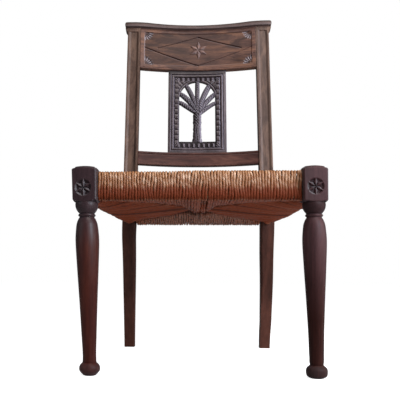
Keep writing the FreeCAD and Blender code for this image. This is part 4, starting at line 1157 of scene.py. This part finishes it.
def add_floor():
    w = Wiring(bpy.data.materials.new("floor"))
    w.finish({"Base Color": (0.5, 0.5, 0.5), "Roughness": 0.9}, 0.0)
    matte = w.nodes["Principled BSDF"].outputs[0]
    glow = w.node("Emission", {"Color": WHITE, "Strength": 0.93})
    w.show("Material Output", matte, w.node("AddShader", {0: matte, 1: glow}))
    mesh = bpy.data.meshes.new("floor")
    mesh.from_pydata([(-9, -9, 0), (9, -9, 0), (9, 9, 0), (-9, 9, 0)], [], [(0, 1, 2, 3)])
    mesh.materials.append(w.holder)
    link_object("floor", mesh)


def add_world():
    world = bpy.data.worlds.new("surround")
    bpy.context.scene.world = world
    w = Wiring(world)
    light = w.node("Background", {"Color": (0.93, 0.96, 1.0), "Strength": 0.15})
    w.show("World Output", light, w.node("Background", {"Color": WHITE, "Strength": 1.0}))


def aim(holder, toward):
    holder.rotation_euler = toward.to_track_quat("-Z", "Y").to_euler()


def add_lamp(name, place, target, width, height, power, colour):
    lamp = bpy.data.lights.new(name, "AREA")
    lamp.shape = "RECTANGLE"
    lamp.size, lamp.size_y = width, height
    lamp.energy = power
    lamp.color = colour
    holder = link_object(name, lamp)
    holder.location = place
    aim(holder, Vector(target) - Vector(place))


def add_camera():
    camera = bpy.data.cameras.new("camera")
    camera.lens = 53.0
    camera.sensor_width = 36.0
    camera.shift_x, camera.shift_y = 0.0885, 0.0768
    holder = link_object("camera", camera)
    holder.location = (-0.0208, FRONT / 1000 - 1.2125, 0.2153)
    pitch, yaw, roll = math.radians(4), -0.044, math.radians(0.3)
    level = math.cos(pitch)
    aim(holder, Vector((math.sin(yaw) * level, math.cos(yaw) * level, math.sin(pitch))))
    holder.rotation_euler.rotate_axis("Z", roll)
    bpy.context.scene.camera = holder


add_floor()
add_world()
for lamp in (("window", (1.25, -1.35, 1.05), (0.05, 0, 0.5), 0.6, 1.1, 39, (0.80, 0.89, 1.0)),
             ("overhead", (0.5, -1.0, 2.6), (0, 0, 0.45), 1.3, 0.9, 38, (1.0, 0.95, 0.89)),
             ("front", (0.62, -1.75, 0.72), (0.1, 0, 0.5), 0.5, 0.8, 4, (0.92, 0.95, 1.0)),
             ("side", (1.75, -0.36, 0.65), (-0.1, -0.25, 0.35), 0.8, 1.0, 12, (1.0, 0.92, 0.90)),
             ("fill", (-2.2, -1.5, 1.0), (0, 0, 0.4), 1.6, 1.6, 8, (0.88, 0.94, 1.0))):
    add_lamp(*lamp)
add_camera()
bpy.context.scene.view_settings.view_transform = "Standard"
